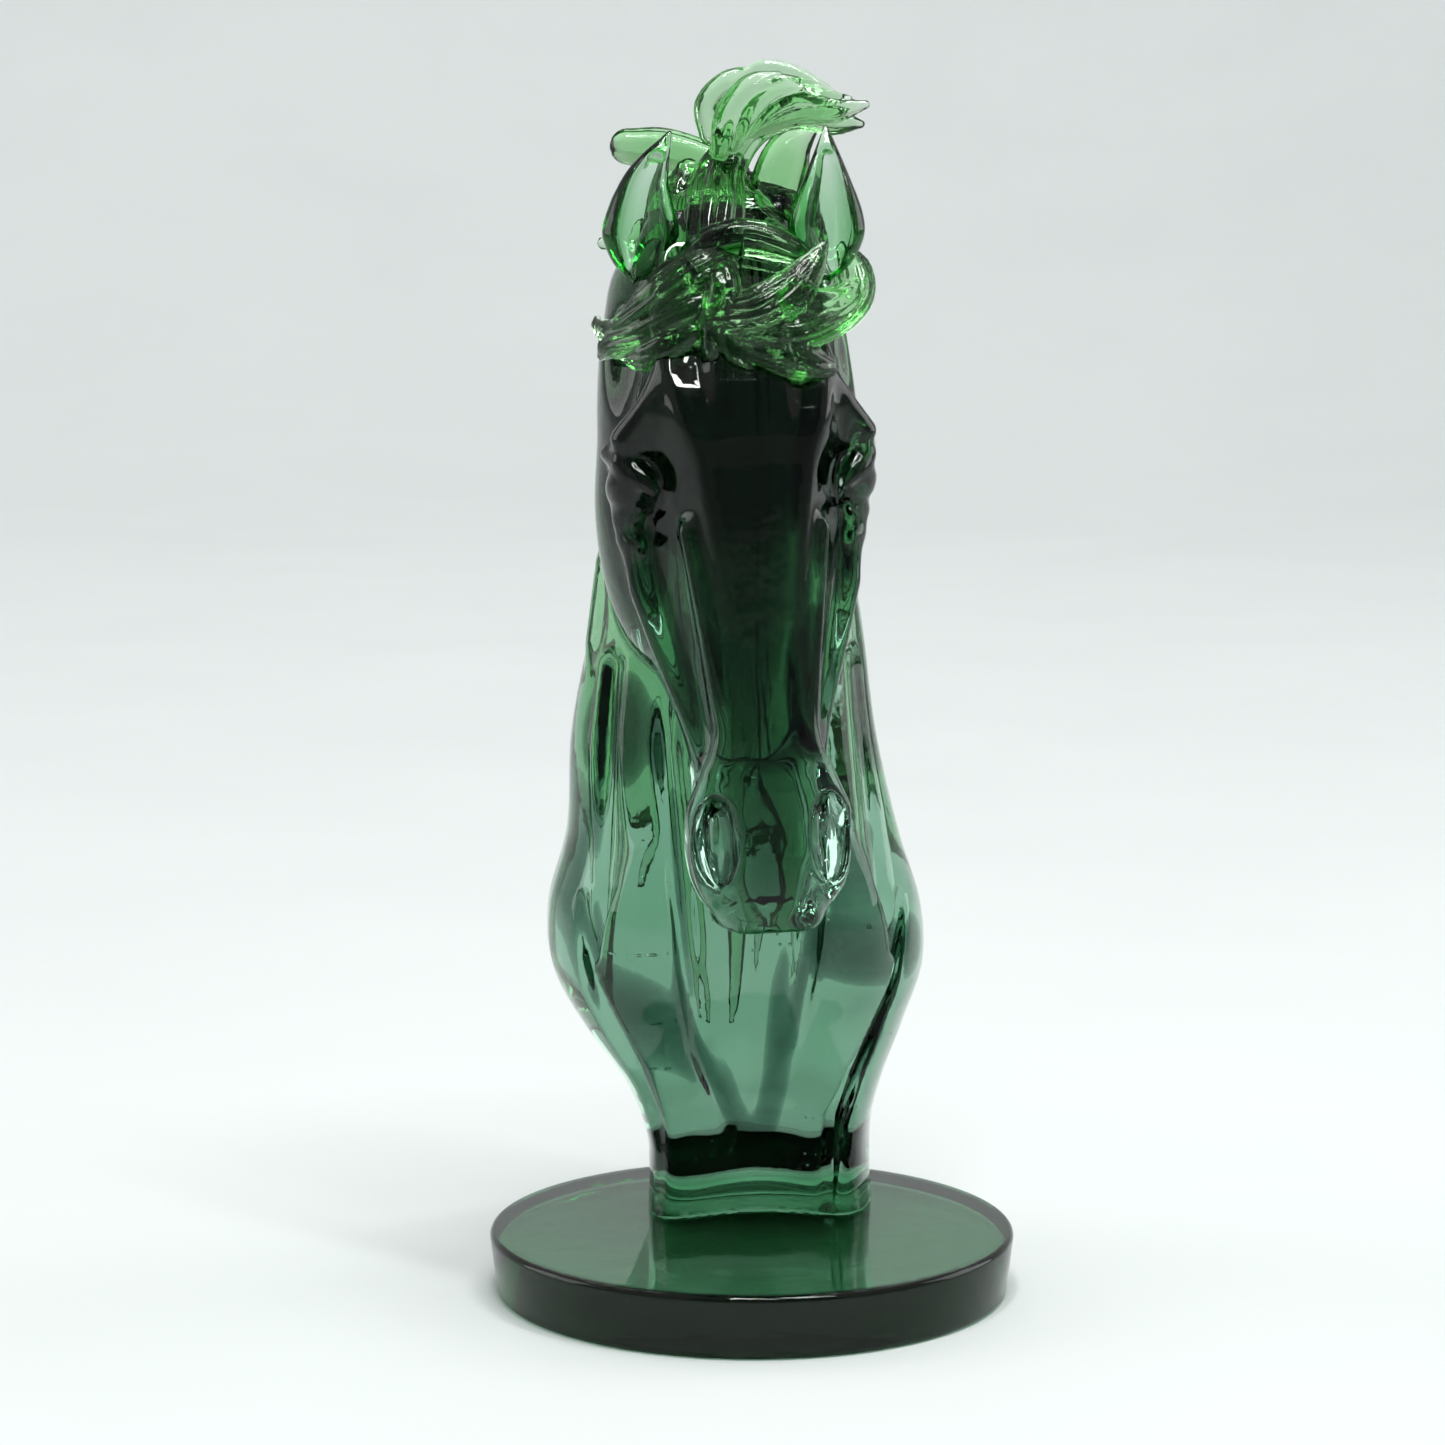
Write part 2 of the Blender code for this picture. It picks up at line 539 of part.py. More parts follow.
def head_rings():
    """Outlines of the head at its levels: jaw, cheek, and a nose bone with two crisp edges."""
    rings = []
    for s, front, back, jaw, cheek, side, nose in sections(HEAD_SECTIONS, HEAD_LEVELS):
        right = []
        for k in range(HEAD_SIDES + 1):
            rise = k / HEAD_SIDES
            fall = 1 - rise
            half = jaw * fall**3 + 3 * cheek * fall**2 * rise + 3 * side * fall * rise**2 + nose * rise**3
            right.append((half, min(-back + rise * (front + back), front - facet_depth(half, s))))
        for k in range(1, FRONT_STEPS):
            x = nose * (1 - k / FRONT_STEPS)
            right.append((x, front - facet_depth(x, s)))
        ring = [head_point(x, f, s) for x, f in right]
        ring += [head_point(-x, f, s) for x, f in reversed(right)]
        rings.append(ring)
    return rings


def mirrored(points):
    """The same points on the other side of the head."""
    return tuple((-point[0], *point[1:]) for point in points)


def head_ball(centre, sizes):
    """An ellipsoid in the head's frame."""
    matrix = HEAD_FRAME @ Matrix.Diagonal((WIDE, 1.0, LONG, 1.0))
    return mesh_from("mass", lambda shape: ball(shape, matrix, centre, sizes))


def breast(side):
    """The swelling of one side of the chest."""
    (x, y, height), (wide, deep, tall) = BREAST
    centre = neck_point(side * x + CHEST_MIDDLE, y, height)
    sizes = (wide * BROAD, deep, tall * TALL)
    return mesh_from("breast", lambda shape: ball(shape, Matrix.Identity(4), centre, sizes))


def horse_bust(collection, cutters):
    """Head and neck, one casting: lofts for the masses, ridges and hollows for the muscles."""
    masses = [
        mesh_from("neck", lambda shape: loft(shape, neck_rings())),
        mesh_from("head", lambda shape: loft(shape, head_rings())),
    ]
    for centre, sizes in HEAD_MASSES:
        for point in ((centre,), mirrored((centre,))):
            masses.append(head_ball(point[0], sizes))
    for ridge in HEAD_RIDGES:
        masses += [strand("ridge", side, head_point) for side in (ridge, mirrored(ridge))]
    masses += [breast(side) for side in (-1, 1)]
    masses.append(strand("lying_lock", LYING_LOCK, neck_point))
    bust = add_object("horse_bust", merged("horse_bust", masses), collection)
    voxel_union(bust, BUST_VOXEL, 2)

    hollows = []
    for hollow in HEAD_HOLLOWS:
        hollows += [strand("hollow", side, head_point) for side in (hollow, mirrored(hollow))]
    for centre, sizes in (NOSTRIL, TEMPLE):
        for point in ((centre,), mirrored((centre,))):
            hollows.append(head_ball(point[0], sizes))
    for groove in CHEST_GROOVES:
        for side in (groove, mirrored(groove)):
            placed = [(x + CHEST_MIDDLE, y, height, radius) for x, y, height, radius in side]
            hollows.append(strand("groove", placed, neck_point))
    tool = as_cutter(add_object("hollows", merged("hollows", hollows), cutters))
    voxel_union(tool, BUST_VOXEL, 1)
    cut(bust, tool)
    voxel_union(bust, BUST_VOXEL, 3)
    thin_out(bust, BUST_TRIANGLES)

    below = 20.0
    half = 2 * BASE_RADIUS
    top = BASE_THICKNESS + BOND_GAP
    block = Matrix.Translation((0, 0, top - below / 2)) @ Matrix.Diagonal((half, half, below, 1.0))
    trim = mesh_from("foot_trim", lambda shape: bmesh.ops.create_cube(shape, size=1.0, matrix=block))
    cut(bust, as_cutter(add_object("foot_trim", trim, cutters)))
    keep_largest(bust)
    return bust


def ear(name, side, lean, forward, collection):
    """A leaf-shaped ear with a channel down its front.

    side is -1 or 1, lean moves the tip sideways, and forward is how far the root stands before the poll.
    """
    root = hair_point(side * EAR_SPACING / 2 + 0.5, -forward, -EAR_SUNK)
    rings = []
    for share, width, depth in through(EAR_OUTLINE, 2):
        thinning = min(1.0, 1.6 * (1 - share) + 0.1)
        centre = root + Vector((lean * share**2, EAR_RAKE * share, EAR_LENGTH * share))
        wide, deep = width * EAR_WIDTH / 2, depth * EAR_DEPTH / 2
        wall = min(EAR_WALL * thinning, 0.55 * deep)
        turn = 2 * math.pi - 2 * EAR_OPENING
        sweep = [EAR_OPENING + turn * i / EAR_SIDES for i in range(EAR_SIDES + 1)]
        outer = [centre + Vector((-math.sin(a) * wide, -math.cos(a) * deep, 0)) for a in sweep]
        inner = [
            centre + Vector((-math.sin(a) * (wide - wall), -math.cos(a) * (deep - wall) * 0.8, 0))
            for a in sweep
        ]
        rings.append(outer + inner[::-1])
    mesh = mesh_from(name, lambda shape: loft(shape, rings))
    return add_object(name, mesh, collection)


def hair(name, strands, triangles, collection):
    """A lock of hair: tapered strands run together."""
    tubes = []
    for points in strands:
        thick = [(*point[:3], max(point[3], HAIR_TIP)) for point in points]
        tubes.append(strand("strand", thick, hair_point))
    lock = add_object(name, merged(name, tubes), collection)
    voxel_union(lock, HAIR_VOXEL, 3)
    thin_out(lock, triangles)
    return lock


def main():
    """Builds every piece, seats each on its neighbours and hangs them all on one empty."""
    clear_scene()
    figurine = new_collection("horse_head_figurine")
    cutters = new_collection("cutters")
    deep_green = resin("deep_green_resin", (0.012, 0.085, 0.045), 0.05)
    leaf_green = resin("leaf_green_resin", (0.045, 0.30, 0.06), 0.06)

    disc = base_disc(figurine)
    bust = horse_bust(figurine, cutters)
    pieces = [
        ear("ear_left", -1, 3.6, 10.3, figurine),
        ear("ear_right", 1, 0.8, 12.8, figurine),
        hair("forelock_left", FORELOCK_LEFT, HAIR_TRIANGLES, figurine),
        hair("forelock_right", FORELOCK_RIGHT, HAIR_TRIANGLES, figurine),
        hair("crest_curl", CREST_CURL, HAIR_TRIANGLES, figurine),
        hair("side_lock", SIDE_LOCK, HAIR_TRIANGLES, figurine),
        hair("mane", MANE, MANE_TRIANGLES, figurine),
    ]
    seats = [grown(bust, cutters)]
    for piece in pieces:
        seat(piece, seats)
        seats.append(grown(piece, cutters))

    root = bpy.data.objects.new("horse_head", None)
    figurine.objects.link(root)
    for piece in (disc, bust, *pieces):
        piece.data.materials.clear()
        piece.data.materials.append(deep_green if piece in (disc, bust) else leaf_green)
        piece.data.shade_smooth()
        piece.data.set_sharp_from_angle(angle=math.radians(40))
        piece.parent = root


main()
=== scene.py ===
"""Horse head cast in clear green resin on a round plinth, dressed for a plain studio picture.

Every length is in millimetres until a mesh is made. The chest faces -Y, +Z is up, and the origin is the
middle of the plinth's underside. The head has a frame of its own: x to the side, f forward out of the
face, and s down the face from the poll, the point between the ears.
"""

from __future__ import annotations

import logging
import math
from collections.abc import Callable, Sequence
from dataclasses import dataclass
from enum import Enum

import bpy
import numpy as np
from mathutils import Matrix, Vector

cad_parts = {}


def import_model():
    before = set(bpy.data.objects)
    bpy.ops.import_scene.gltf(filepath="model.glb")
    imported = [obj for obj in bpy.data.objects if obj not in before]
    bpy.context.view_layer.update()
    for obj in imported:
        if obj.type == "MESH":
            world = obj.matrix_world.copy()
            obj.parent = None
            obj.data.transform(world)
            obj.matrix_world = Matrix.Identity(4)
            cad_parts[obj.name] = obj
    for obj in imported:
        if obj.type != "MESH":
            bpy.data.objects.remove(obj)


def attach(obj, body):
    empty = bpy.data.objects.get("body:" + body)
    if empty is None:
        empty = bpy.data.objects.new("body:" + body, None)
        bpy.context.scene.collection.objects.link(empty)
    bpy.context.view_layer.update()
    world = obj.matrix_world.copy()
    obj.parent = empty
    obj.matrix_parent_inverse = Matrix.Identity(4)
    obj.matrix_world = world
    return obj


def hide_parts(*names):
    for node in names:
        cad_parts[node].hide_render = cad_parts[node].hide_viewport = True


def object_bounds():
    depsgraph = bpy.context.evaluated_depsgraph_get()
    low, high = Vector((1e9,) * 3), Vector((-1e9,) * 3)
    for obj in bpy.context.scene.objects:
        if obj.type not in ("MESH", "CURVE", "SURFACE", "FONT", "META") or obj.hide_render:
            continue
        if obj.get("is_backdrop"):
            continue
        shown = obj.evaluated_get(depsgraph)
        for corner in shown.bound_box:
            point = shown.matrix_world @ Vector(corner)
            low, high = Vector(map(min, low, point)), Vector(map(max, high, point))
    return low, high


MM = 0.001
LOG = logging.getLogger("horse_head")

Row = tuple[float, ...]
Field = Callable[[np.ndarray], np.ndarray]

FAR = 50.0  # a field's value where there is nothing, far outside any solid
STRAND_STEPS = 6  # steps from one point of a strand to the next
THINNEST = 0.15  # least radius of a strand
COARSE = 4  # the lattice is first read at every fourth plane
# A surface in a coarse cell is within half its diagonal, 3.5 steps, of a corner; the rest is margin, because
# fields are only near to distances
REACH = 5.5
CLOUD_STEP = 1.5  # spacing of the points that a cloud of pigment is found on
CLOUD_EDGE = 2.0  # rounding where a cloud meets the clear skin
SEAT_EDGE = 0.15  # rounding where a lock meets the bust
CORE_SHARE = 0.72  # width of the pigment in a strand, as a share of the strand's
CORE_SKIN = 0.7  # clear resin round the pigment in a strand
CORNERS = np.array([(a, b, c) for a in (0, 1) for b in (0, 1) for c in (0, 1)])


class Side(Enum):
    """Which side of the horse, seen from the front."""

    LEFT = -1
    RIGHT = 1


# ---------------------------------------------------------------------------- curves and solid fields


def station_value(table: Sequence[Row], column: int, at: np.ndarray) -> np.ndarray:
    """One column of a station table at many places, by cubic interpolation that passes each station.

    Args:
        table: rows whose first number is the station's place, in rising order.
        column: which number of the row is wanted.
        at: places to read; those past the ends take the end's value.

    Returns:
        The column's value at each place.
    """
    rows = np.asarray(table, float)
    place, value = rows[:, 0], rows[:, column]
    slope = np.gradient(value, place)
    at = np.clip(at, place[0], place[-1])
    i = np.clip(np.searchsorted(place, at, side="right") - 1, 0, len(place) - 2)
    span = place[i + 1] - place[i]
    u = (at - place[i]) / span
    rise = u * u * (3 - 2 * u)
    leave = u * (1 - u) ** 2 * span * slope[i]
    arrive = u * u * (u - 1) * span * slope[i + 1]
    return value[i] + rise * (value[i + 1] - value[i]) + leave + arrive


def joined(a: np.ndarray, b: np.ndarray, blend: float) -> np.ndarray:
    """Field of two solids together, with a fillet about `blend` wide where they meet."""
    share = np.clip(0.5 + 0.5 * (b - a) / blend, 0, 1)
    return b + (a - b) * share - blend * share * (1 - share)


def common(a: np.ndarray, b: np.ndarray, blend: float) -> np.ndarray:
    """Field of what two solids share, its new edge rounded over `blend`."""
    return -joined(-a, -b, blend)


@dataclass(frozen=True)
class Mass:
    """An ellipsoid that is added to a solid, or taken out of it."""

    centre: Row
    sizes: Row  # half sizes along the frame's axes
    blend: float  # width of the fillet round it
    hollow: bool = False  # whether it is taken out

    def box(self) -> tuple[np.ndarray, np.ndarray]:
        """Lowest and highest corner of all that the shape can change."""
        reach = np.array(self.sizes) + self.blend + 1.0
        return np.array(self.centre) - reach, np.array(self.centre) + reach

    def distance(self, points: np.ndarray) -> np.ndarray:
        """Distance from the ellipsoid, to first order: k (k - 1) / |gradient| with k the scaled radius."""
        scaled = (points - self.centre) / self.sizes
        k = np.sqrt((scaled**2).sum(-1))
        slope = np.sqrt(((scaled / self.sizes) ** 2).sum(-1))
        return k * (k - 1) / np.maximum(slope, 1e-9)


@dataclass(frozen=True)
class Ridge:
    """A rounded ridge, or a rounded groove, along a line: a chain of tapering capsules."""

    points: tuple[Row, ...]  # (x, y, z, radius) along the line
    blend: float
    hollow: bool = False

    def box(self) -> tuple[np.ndarray, np.ndarray]:
        """Lowest and highest corner of all that the shape can change."""
        rows = np.asarray(self.points)
        reach = rows[:, 3:].max() + self.blend + 1.0
        return rows[:, :3].min(0) - reach, rows[:, :3].max(0) + reach

    def distance(self, points: np.ndarray) -> np.ndarray:
        """Least over the chain's links of the distance to the link less its radius there."""
        nearest = np.full(points.shape[:-1], 1e3)
        for start, end in zip(self.points, self.points[1:]):
            a, b = np.array(start[:3]), np.array(end[:3])
            along = b - a
            t = np.clip((points - a) @ along / (along @ along), 0, 1)
            away = np.sqrt(((points - a - t[..., None] * along) ** 2).sum(-1))
            nearest = np.minimum(nearest, away - start[3] - (end[3] - start[3]) * t)
        return nearest


def worked(base: np.ndarray, points: np.ndarray, forms: Sequence[Mass | Ridge | Strand]) -> np.ndarray:
    """Adds forms to a solid, or takes them out, each only where it can change something.

    Args:
        base: the solid's field at the points.
        points: the points, in the frame of the forms.
        forms: what is added or taken out, in order.

    Returns:
        The field of the worked solid.
    """
    out = base.copy()
    for form in forms:
        low, high = form.box()
        near = ((points > low) & (points < high)).all(-1)
        if not near.any():
            continue
        own = form.distance(points[near])
        out[near] = common(out[near], -own, form.blend) if form.hollow else joined(out[near], own, form.blend)
    return out


def alone(points: np.ndarray, forms: Sequence[Mass | Ridge | Strand]) -> np.ndarray:
    """Field of forms run together, with no other solid under them."""
    return worked(np.full(len(points), FAR), points, forms)


def limited(out: np.ndarray, points: np.ndarray, limit: Field, within: float, blend: float) -> np.ndarray:
    """Cuts a solid down to what lies inside another.

    Args:
        out: the solid's field at the points, which is changed.
        points: the points.
        limit: field of the other solid.
        within: where the solid's field is below this, the other is read.
        blend: rounding of the new edge.

    Returns:
        The changed field.
    """
    near = out < within
    if near.any():
        out[near] = common(out[near], limit(points[near]), blend)
    return out


@dataclass(frozen=True)
class Strand:
    """A lock of hair: a flattened, grooved body that follows a smooth line and tapers."""

    points: tuple[Row, ...]  # (x, y, z, radius) along the line, measured from the poll
    flat: float = 0.75  # thickness outwards as a share of the width
    combs: int = 9  # comb grooves round it, none for a smooth body
    depth: float = 0.13  # depth of the grooves as a share of the radius
    blend: float = 0.7  # width of the fillet where it meets the other strands
    hollow: bool = False  # whether it is taken out instead of added
    outward: Row = (0.0, -1.0, 0.25)  # direction that the flat side faces

    def line(self) -> np.ndarray:
        """Rows (x, y, z, radius) along the smooth line, in even steps from each point to the next."""
        rows = [(float(i), *point) for i, point in enumerate(self.points)]
        at = np.linspace(0, len(rows) - 1, STRAND_STEPS * (len(rows) - 1) + 1)
        return np.stack([station_value(rows, column, at) for column in range(1, 5)], 1)

    def box(self) -> tuple[np.ndarray, np.ndarray]:
        """Lowest and highest corner of all that the strand can change."""
        rows = self.line()
        reach = rows[:, 3:].max() * 1.2 + self.blend + 0.8
        return rows[:, :3].min(0) - reach, rows[:, :3].max(0) + reach

    def distance(self, points: np.ndarray) -> np.ndarray:
        """Scaled radius in the section at the nearest place on the line, less the grooved radius there.

        The section is an ellipse, its radius r (1 + depth (|sin(combs angle / 2)| - 0.6)): round ridges
        with sharp valleys between them, as a comb leaves.
        """
        rows = self.line()
        path, radius = rows[:, :3], np.maximum(rows[:, 3], THINNEST)
        ahead = np.gradient(path, axis=0)
        ahead /= np.linalg.norm(ahead, axis=1, keepdims=True)
        out = np.array(self.outward) - (ahead @ np.array(self.outward))[:, None] * ahead
        out /= np.maximum(np.linalg.norm(out, axis=1, keepdims=True), 1e-6)
        side = np.cross(ahead, out)
        best = np.full(points.shape[:-1], 1e9)
        high, wide, size = np.zeros_like(best), np.zeros_like(best), np.ones_like(best)
        past = np.zeros_like(best)
        for i in range(len(path) - 1):
            along = path[i + 1] - path[i]
            t = np.clip((points - path[i]) @ along / (along @ along), 0, 1)
            off = points - path[i] - t[..., None] * along
            reach = (off**2).sum(-1)
            closer = reach < best
            best = np.where(closer, reach, best)
            normal = out[i] + t[..., None] * (out[i + 1] - out[i])
            across = (off * normal).sum(-1)
            run = (off @ along) / np.linalg.norm(along)
            aside = np.sqrt(np.maximum(reach - across**2 - run**2, 0)) * np.sign(off @ side[i])
            high = np.where(closer, across, high)
            past = np.where(closer, run, past)
            wide = np.where(closer, aside, wide)
            size = np.where(closer, radius[i] + (radius[i + 1] - radius[i]) * t, size)
        tall = high / self.flat
        grooved = size
        if self.combs:
            angle = np.arctan2(wide, tall)
            grooved = size * (1 + self.depth * (np.abs(np.sin(self.combs * angle / 2)) - 0.6))
        return (np.sqrt(tall**2 + wide**2 + past**2) - grooved) * min(1.0, self.flat + 0.1)


@dataclass(frozen=True)
class Skin:
    """A closed surface as points and four-sided faces."""

    points: np.ndarray
    faces: np.ndarray

    def object(self, name: str) -> bpy.types.Object:
        """Makes the surface an object, its points turned from millimetres to metres and its faces smooth."""
        mesh = bpy.data.meshes.new(name)
        mesh.vertices.add(len(self.points))
        mesh.vertices.foreach_set("co", (self.points * MM).astype(np.float32).ravel())
        corners = self.faces.shape[1]
        mesh.loops.add(self.faces.size)
        mesh.loops.foreach_set("vertex_index", self.faces.astype(np.int32).ravel())
        mesh.polygons.add(len(self.faces))
        mesh.polygons.foreach_set("loop_start", np.arange(0, self.faces.size, corners, dtype=np.int32))
        mesh.update(calc_edges=True)
        mesh.validate()
        return shown(mesh)


def shown(mesh: bpy.types.Mesh) -> bpy.types.Object:
    """Puts a mesh in the scene as an object of the same name, its faces smooth."""
    mesh.shade_smooth()
    piece = bpy.data.objects.new(mesh.name, mesh)
    bpy.context.scene.collection.objects.link(piece)
    return piece


def ring_faces(rings: int, sides: int) -> np.ndarray:
    """Four-sided faces between rings of points that follow each other, each of `sides` points."""
    i, j = np.meshgrid(np.arange(rings - 1), np.arange(sides), indexing="ij")
    k = (j + 1) % sides
    return (np.stack([i, i + 1, i + 1, i], -1) * sides + np.stack([j, j, k, k], -1)).reshape(-1, 4)


def cap_faces(rings: int, sides: int) -> np.ndarray:
    """Triangles from the first and the last ring to the two middle points that come after all the rings."""
    here, last, middle = np.arange(sides), (rings - 1) * sides, np.full(sides, rings * sides)
    beyond = (here + 1) % sides
    first = np.stack([middle, here, beyond], 1)
    return np.concatenate([first, np.stack([middle + 1, last + beyond, last + here], 1)])


def at_corners(lattice: np.ndarray) -> list[np.ndarray]:
    """A lattice's values at its cells' eight corners: for each corner, an array with one value a cell."""
    x, y, z = (count - 1 for count in lattice.shape)
    return [lattice[a : x + a, b : y + b, c : z + c] for a, b, c in CORNERS]


@dataclass(frozen=True)
class Mould:
    """A box of evenly spaced points in which a solid's skin is found."""

    low: Row
    high: Row
    step: float
    slab: int = 16  # planes of points that are worked out at once

    def cast(self, solid: Field) -> Skin:
        """The skin of a solid: surface nets, then each point moved onto the solid's true surface.

        A cell whose corners lie on both sides of the surface gets one point, the mean of where its edges
        cross it. Each crossed edge joins the four cells round it with a face. Newton steps along the
        field's slope then put the points on the surface itself.

        Args:
            solid: field that is below zero inside.

        Returns:
            A closed surface whose faces point outwards.
        """
        low, step = np.array(self.low, float), self.step
        count = np.ceil((np.array(self.high) - low) / step).astype(int) + 1
        axes = [low[k] + step * np.arange(count[k]) for k in range(3)]
        value = self.sampled(axes, solid)
        inside = value < 0
        filled = np.sum(at_corners(inside), 0)
        crossed = (filled > 0) & (filled < 8)
        cells = np.argwhere(crossed)
        number = np.full(crossed.shape, -1, np.int64)
        number[crossed] = np.arange(len(cells))
        at_corner = np.stack([part[crossed] for part in at_corners(value)], 1)
        total, hits = np.zeros((len(cells), 3)), np.zeros(len(cells))
        edges = [(a, b) for a in range(8) for b in range(a + 1, 8) if abs(CORNERS[a] - CORNERS[b]).sum() == 1]
        for a, b in edges:
            first, second = at_corner[:, a], at_corner[:, b]
            cut = (first < 0) != (second < 0)
            share = np.where(cut, first / np.where(cut, first - second, 1), 0)
            total += np.where(cut[:, None], CORNERS[a] + share[:, None] * (CORNERS[b] - CORNERS[a]), 0)
            hits += cut
        points = low + step * (cells + total / hits[:, None])
        return Skin(self.settled(points, solid), self.faces(inside, number))

    def sampled(self, axes: Sequence[np.ndarray], solid: Field) -> np.ndarray:
        """The field at every lattice point: first on a coarse lattice, then at all points near the surface.

        Args:
            axes: places of the lattice's planes along x, y and z.
            solid: the field.

        Returns:
            Values on the lattice; away from the surface only their sign is right.
        """
        beyond = self.step * np.arange(1, 2 * COARSE + 1)
        coarse = [np.append(axis, axis[-1] + beyond)[::COARSE] for axis in axes]
        grid = np.stack(np.meshgrid(*coarse, indexing="ij"), -1)
        rough = np.concatenate([solid(slab.reshape(-1, 3)).reshape(slab.shape[:-1])[None] for slab in grid])
        near = np.min(np.abs(at_corners(rough)), 0) < REACH * self.step
        signs = rough[:-1, :-1, :-1]
        count = [len(axis) for axis in axes]
        cell = [np.arange(n) // COARSE for n in count]
        value = signs[np.ix_(*cell)].astype(np.float32)
        close = near[np.ix_(*cell)]
        for i in range(0, count[0], self.slab):
            band = np.argwhere(close[i : i + self.slab])
            if len(band):
                band[:, 0] += i
                points = np.stack([axes[k][band[:, k]] for k in range(3)], 1)
                value[tuple(band.T)] = solid(points)
        return value

    def faces(self, inside: np.ndarray, number: np.ndarray) -> np.ndarray:
        """One face for each lattice edge that the surface crosses, through the four cells round it."""
        found = []
        for axis in range(3):
            one, two = [(1, 2), (2, 0), (0, 1)][axis]
            start, end = [slice(1, -1)] * 3, [slice(1, -1)] * 3
            start[axis], end[axis] = slice(0, -1), slice(1, None)
            first, second = inside[tuple(start)], inside[tuple(end)]
            cut = first != second
            place = np.argwhere(cut)
            place[:, one] += 1
            place[:, two] += 1
            ring = []
            for back_one, back_two in ((1, 1), (0, 1), (0, 0), (1, 0)):
                cell = place.copy()
                cell[:, one] -= back_one
                cell[:, two] -= back_two
                ring.append(number[tuple(cell.T)])
            quads = np.stack(ring, 1)
            turned = ~first[cut]
            quads[turned] = quads[turned][:, ::-1]
            found.append(quads)
        return np.concatenate(found)

    def settled(self, points: np.ndarray, solid: Field, rounds: int = 3) -> np.ndarray:
        """Moves points onto the surface by Newton steps of at most half a cell along the field's slope."""
        small = 0.05 * self.step
        for _ in range(rounds):
            here = solid(points)
            ways = [small * axis for axis in np.eye(3)]
            slope = np.stack([(solid(points + way) - solid(points - way)) / (2 * small) for way in ways], 1)
            move = -(here / np.maximum((slope**2).sum(1), 0.04))[:, None] * slope
            length = np.linalg.norm(move, axis=1, keepdims=True)
            points = points + move * np.minimum(1, 0.5 * self.step / np.maximum(length, 1e-9))
        return points


# ---------------------------------------------------------------------------- finishes


def linear(code: str) -> tuple[float, float, float, float]:
    """An sRGB hex colour as linear red, green, blue and full opacity."""
    shares = [int(code[i : i + 2], 16) / 255 for i in (1, 3, 5)]
    red, green, blue = (s / 12.92 if s <= 0.04045 else ((s + 0.055) / 1.055) ** 2.4 for s in shares)
    return red, green, blue, 1.0


def node(
    tree: bpy.types.NodeTree,
    kind: str,
    values: dict[str | int, object] | None = None,
    links: dict[str | int, bpy.types.NodeSocket] | None = None,
    **settings: object,
) -> bpy.types.Node:
    """Adds a node to a tree.

    Args:
        tree: the material's or world's nodes.
        kind: the node's type name.
        values: input values by name or number.
        links: output sockets that feed inputs, by name or number.
        settings: the node's own properties.

    Returns:
        The new node.
    """
    made = tree.nodes.new(kind)
    for key, setting in settings.items():
        setattr(made, key, setting)
    for key, amount in (values or {}).items():
        made.inputs[key].default_value = amount
    for key, socket in (links or {}).items():
        tree.links.new(socket, made.inputs[key])
    return made


CLEAR = {"Base Color": (1.0, 1.0, 1.0, 1.0), "Transmission Weight": 1.0}


def blank(name: str) -> tuple[bpy.types.Material, bpy.types.NodeTree]:
    """A material with no nodes."""
    material = bpy.data.materials.new(name)
    material.use_nodes = True
    material.node_tree.nodes.clear()
    return material, material.node_tree


def output(tree: bpy.types.NodeTree, wall: bpy.types.Node, tint: str = "", strength: float = 0.0) -> None:
    """Ends a material: its wall, and behind it an absorbing volume if it has a tint.

    Args:
        tree: the material's nodes.
        wall: the shader of its surface.
        tint: colour that survives inside, as sRGB hex.
        strength: how much of the other colours a metre takes out.
    """
    links = {"Surface": wall.outputs[0]}
    if tint:
        inside = node(tree, "ShaderNodeVolumeAbsorption", {"Color": linear(tint), "Density": strength})
        links["Volume"] = inside.outputs[0]
    node(tree, "ShaderNodeOutputMaterial", links=links)


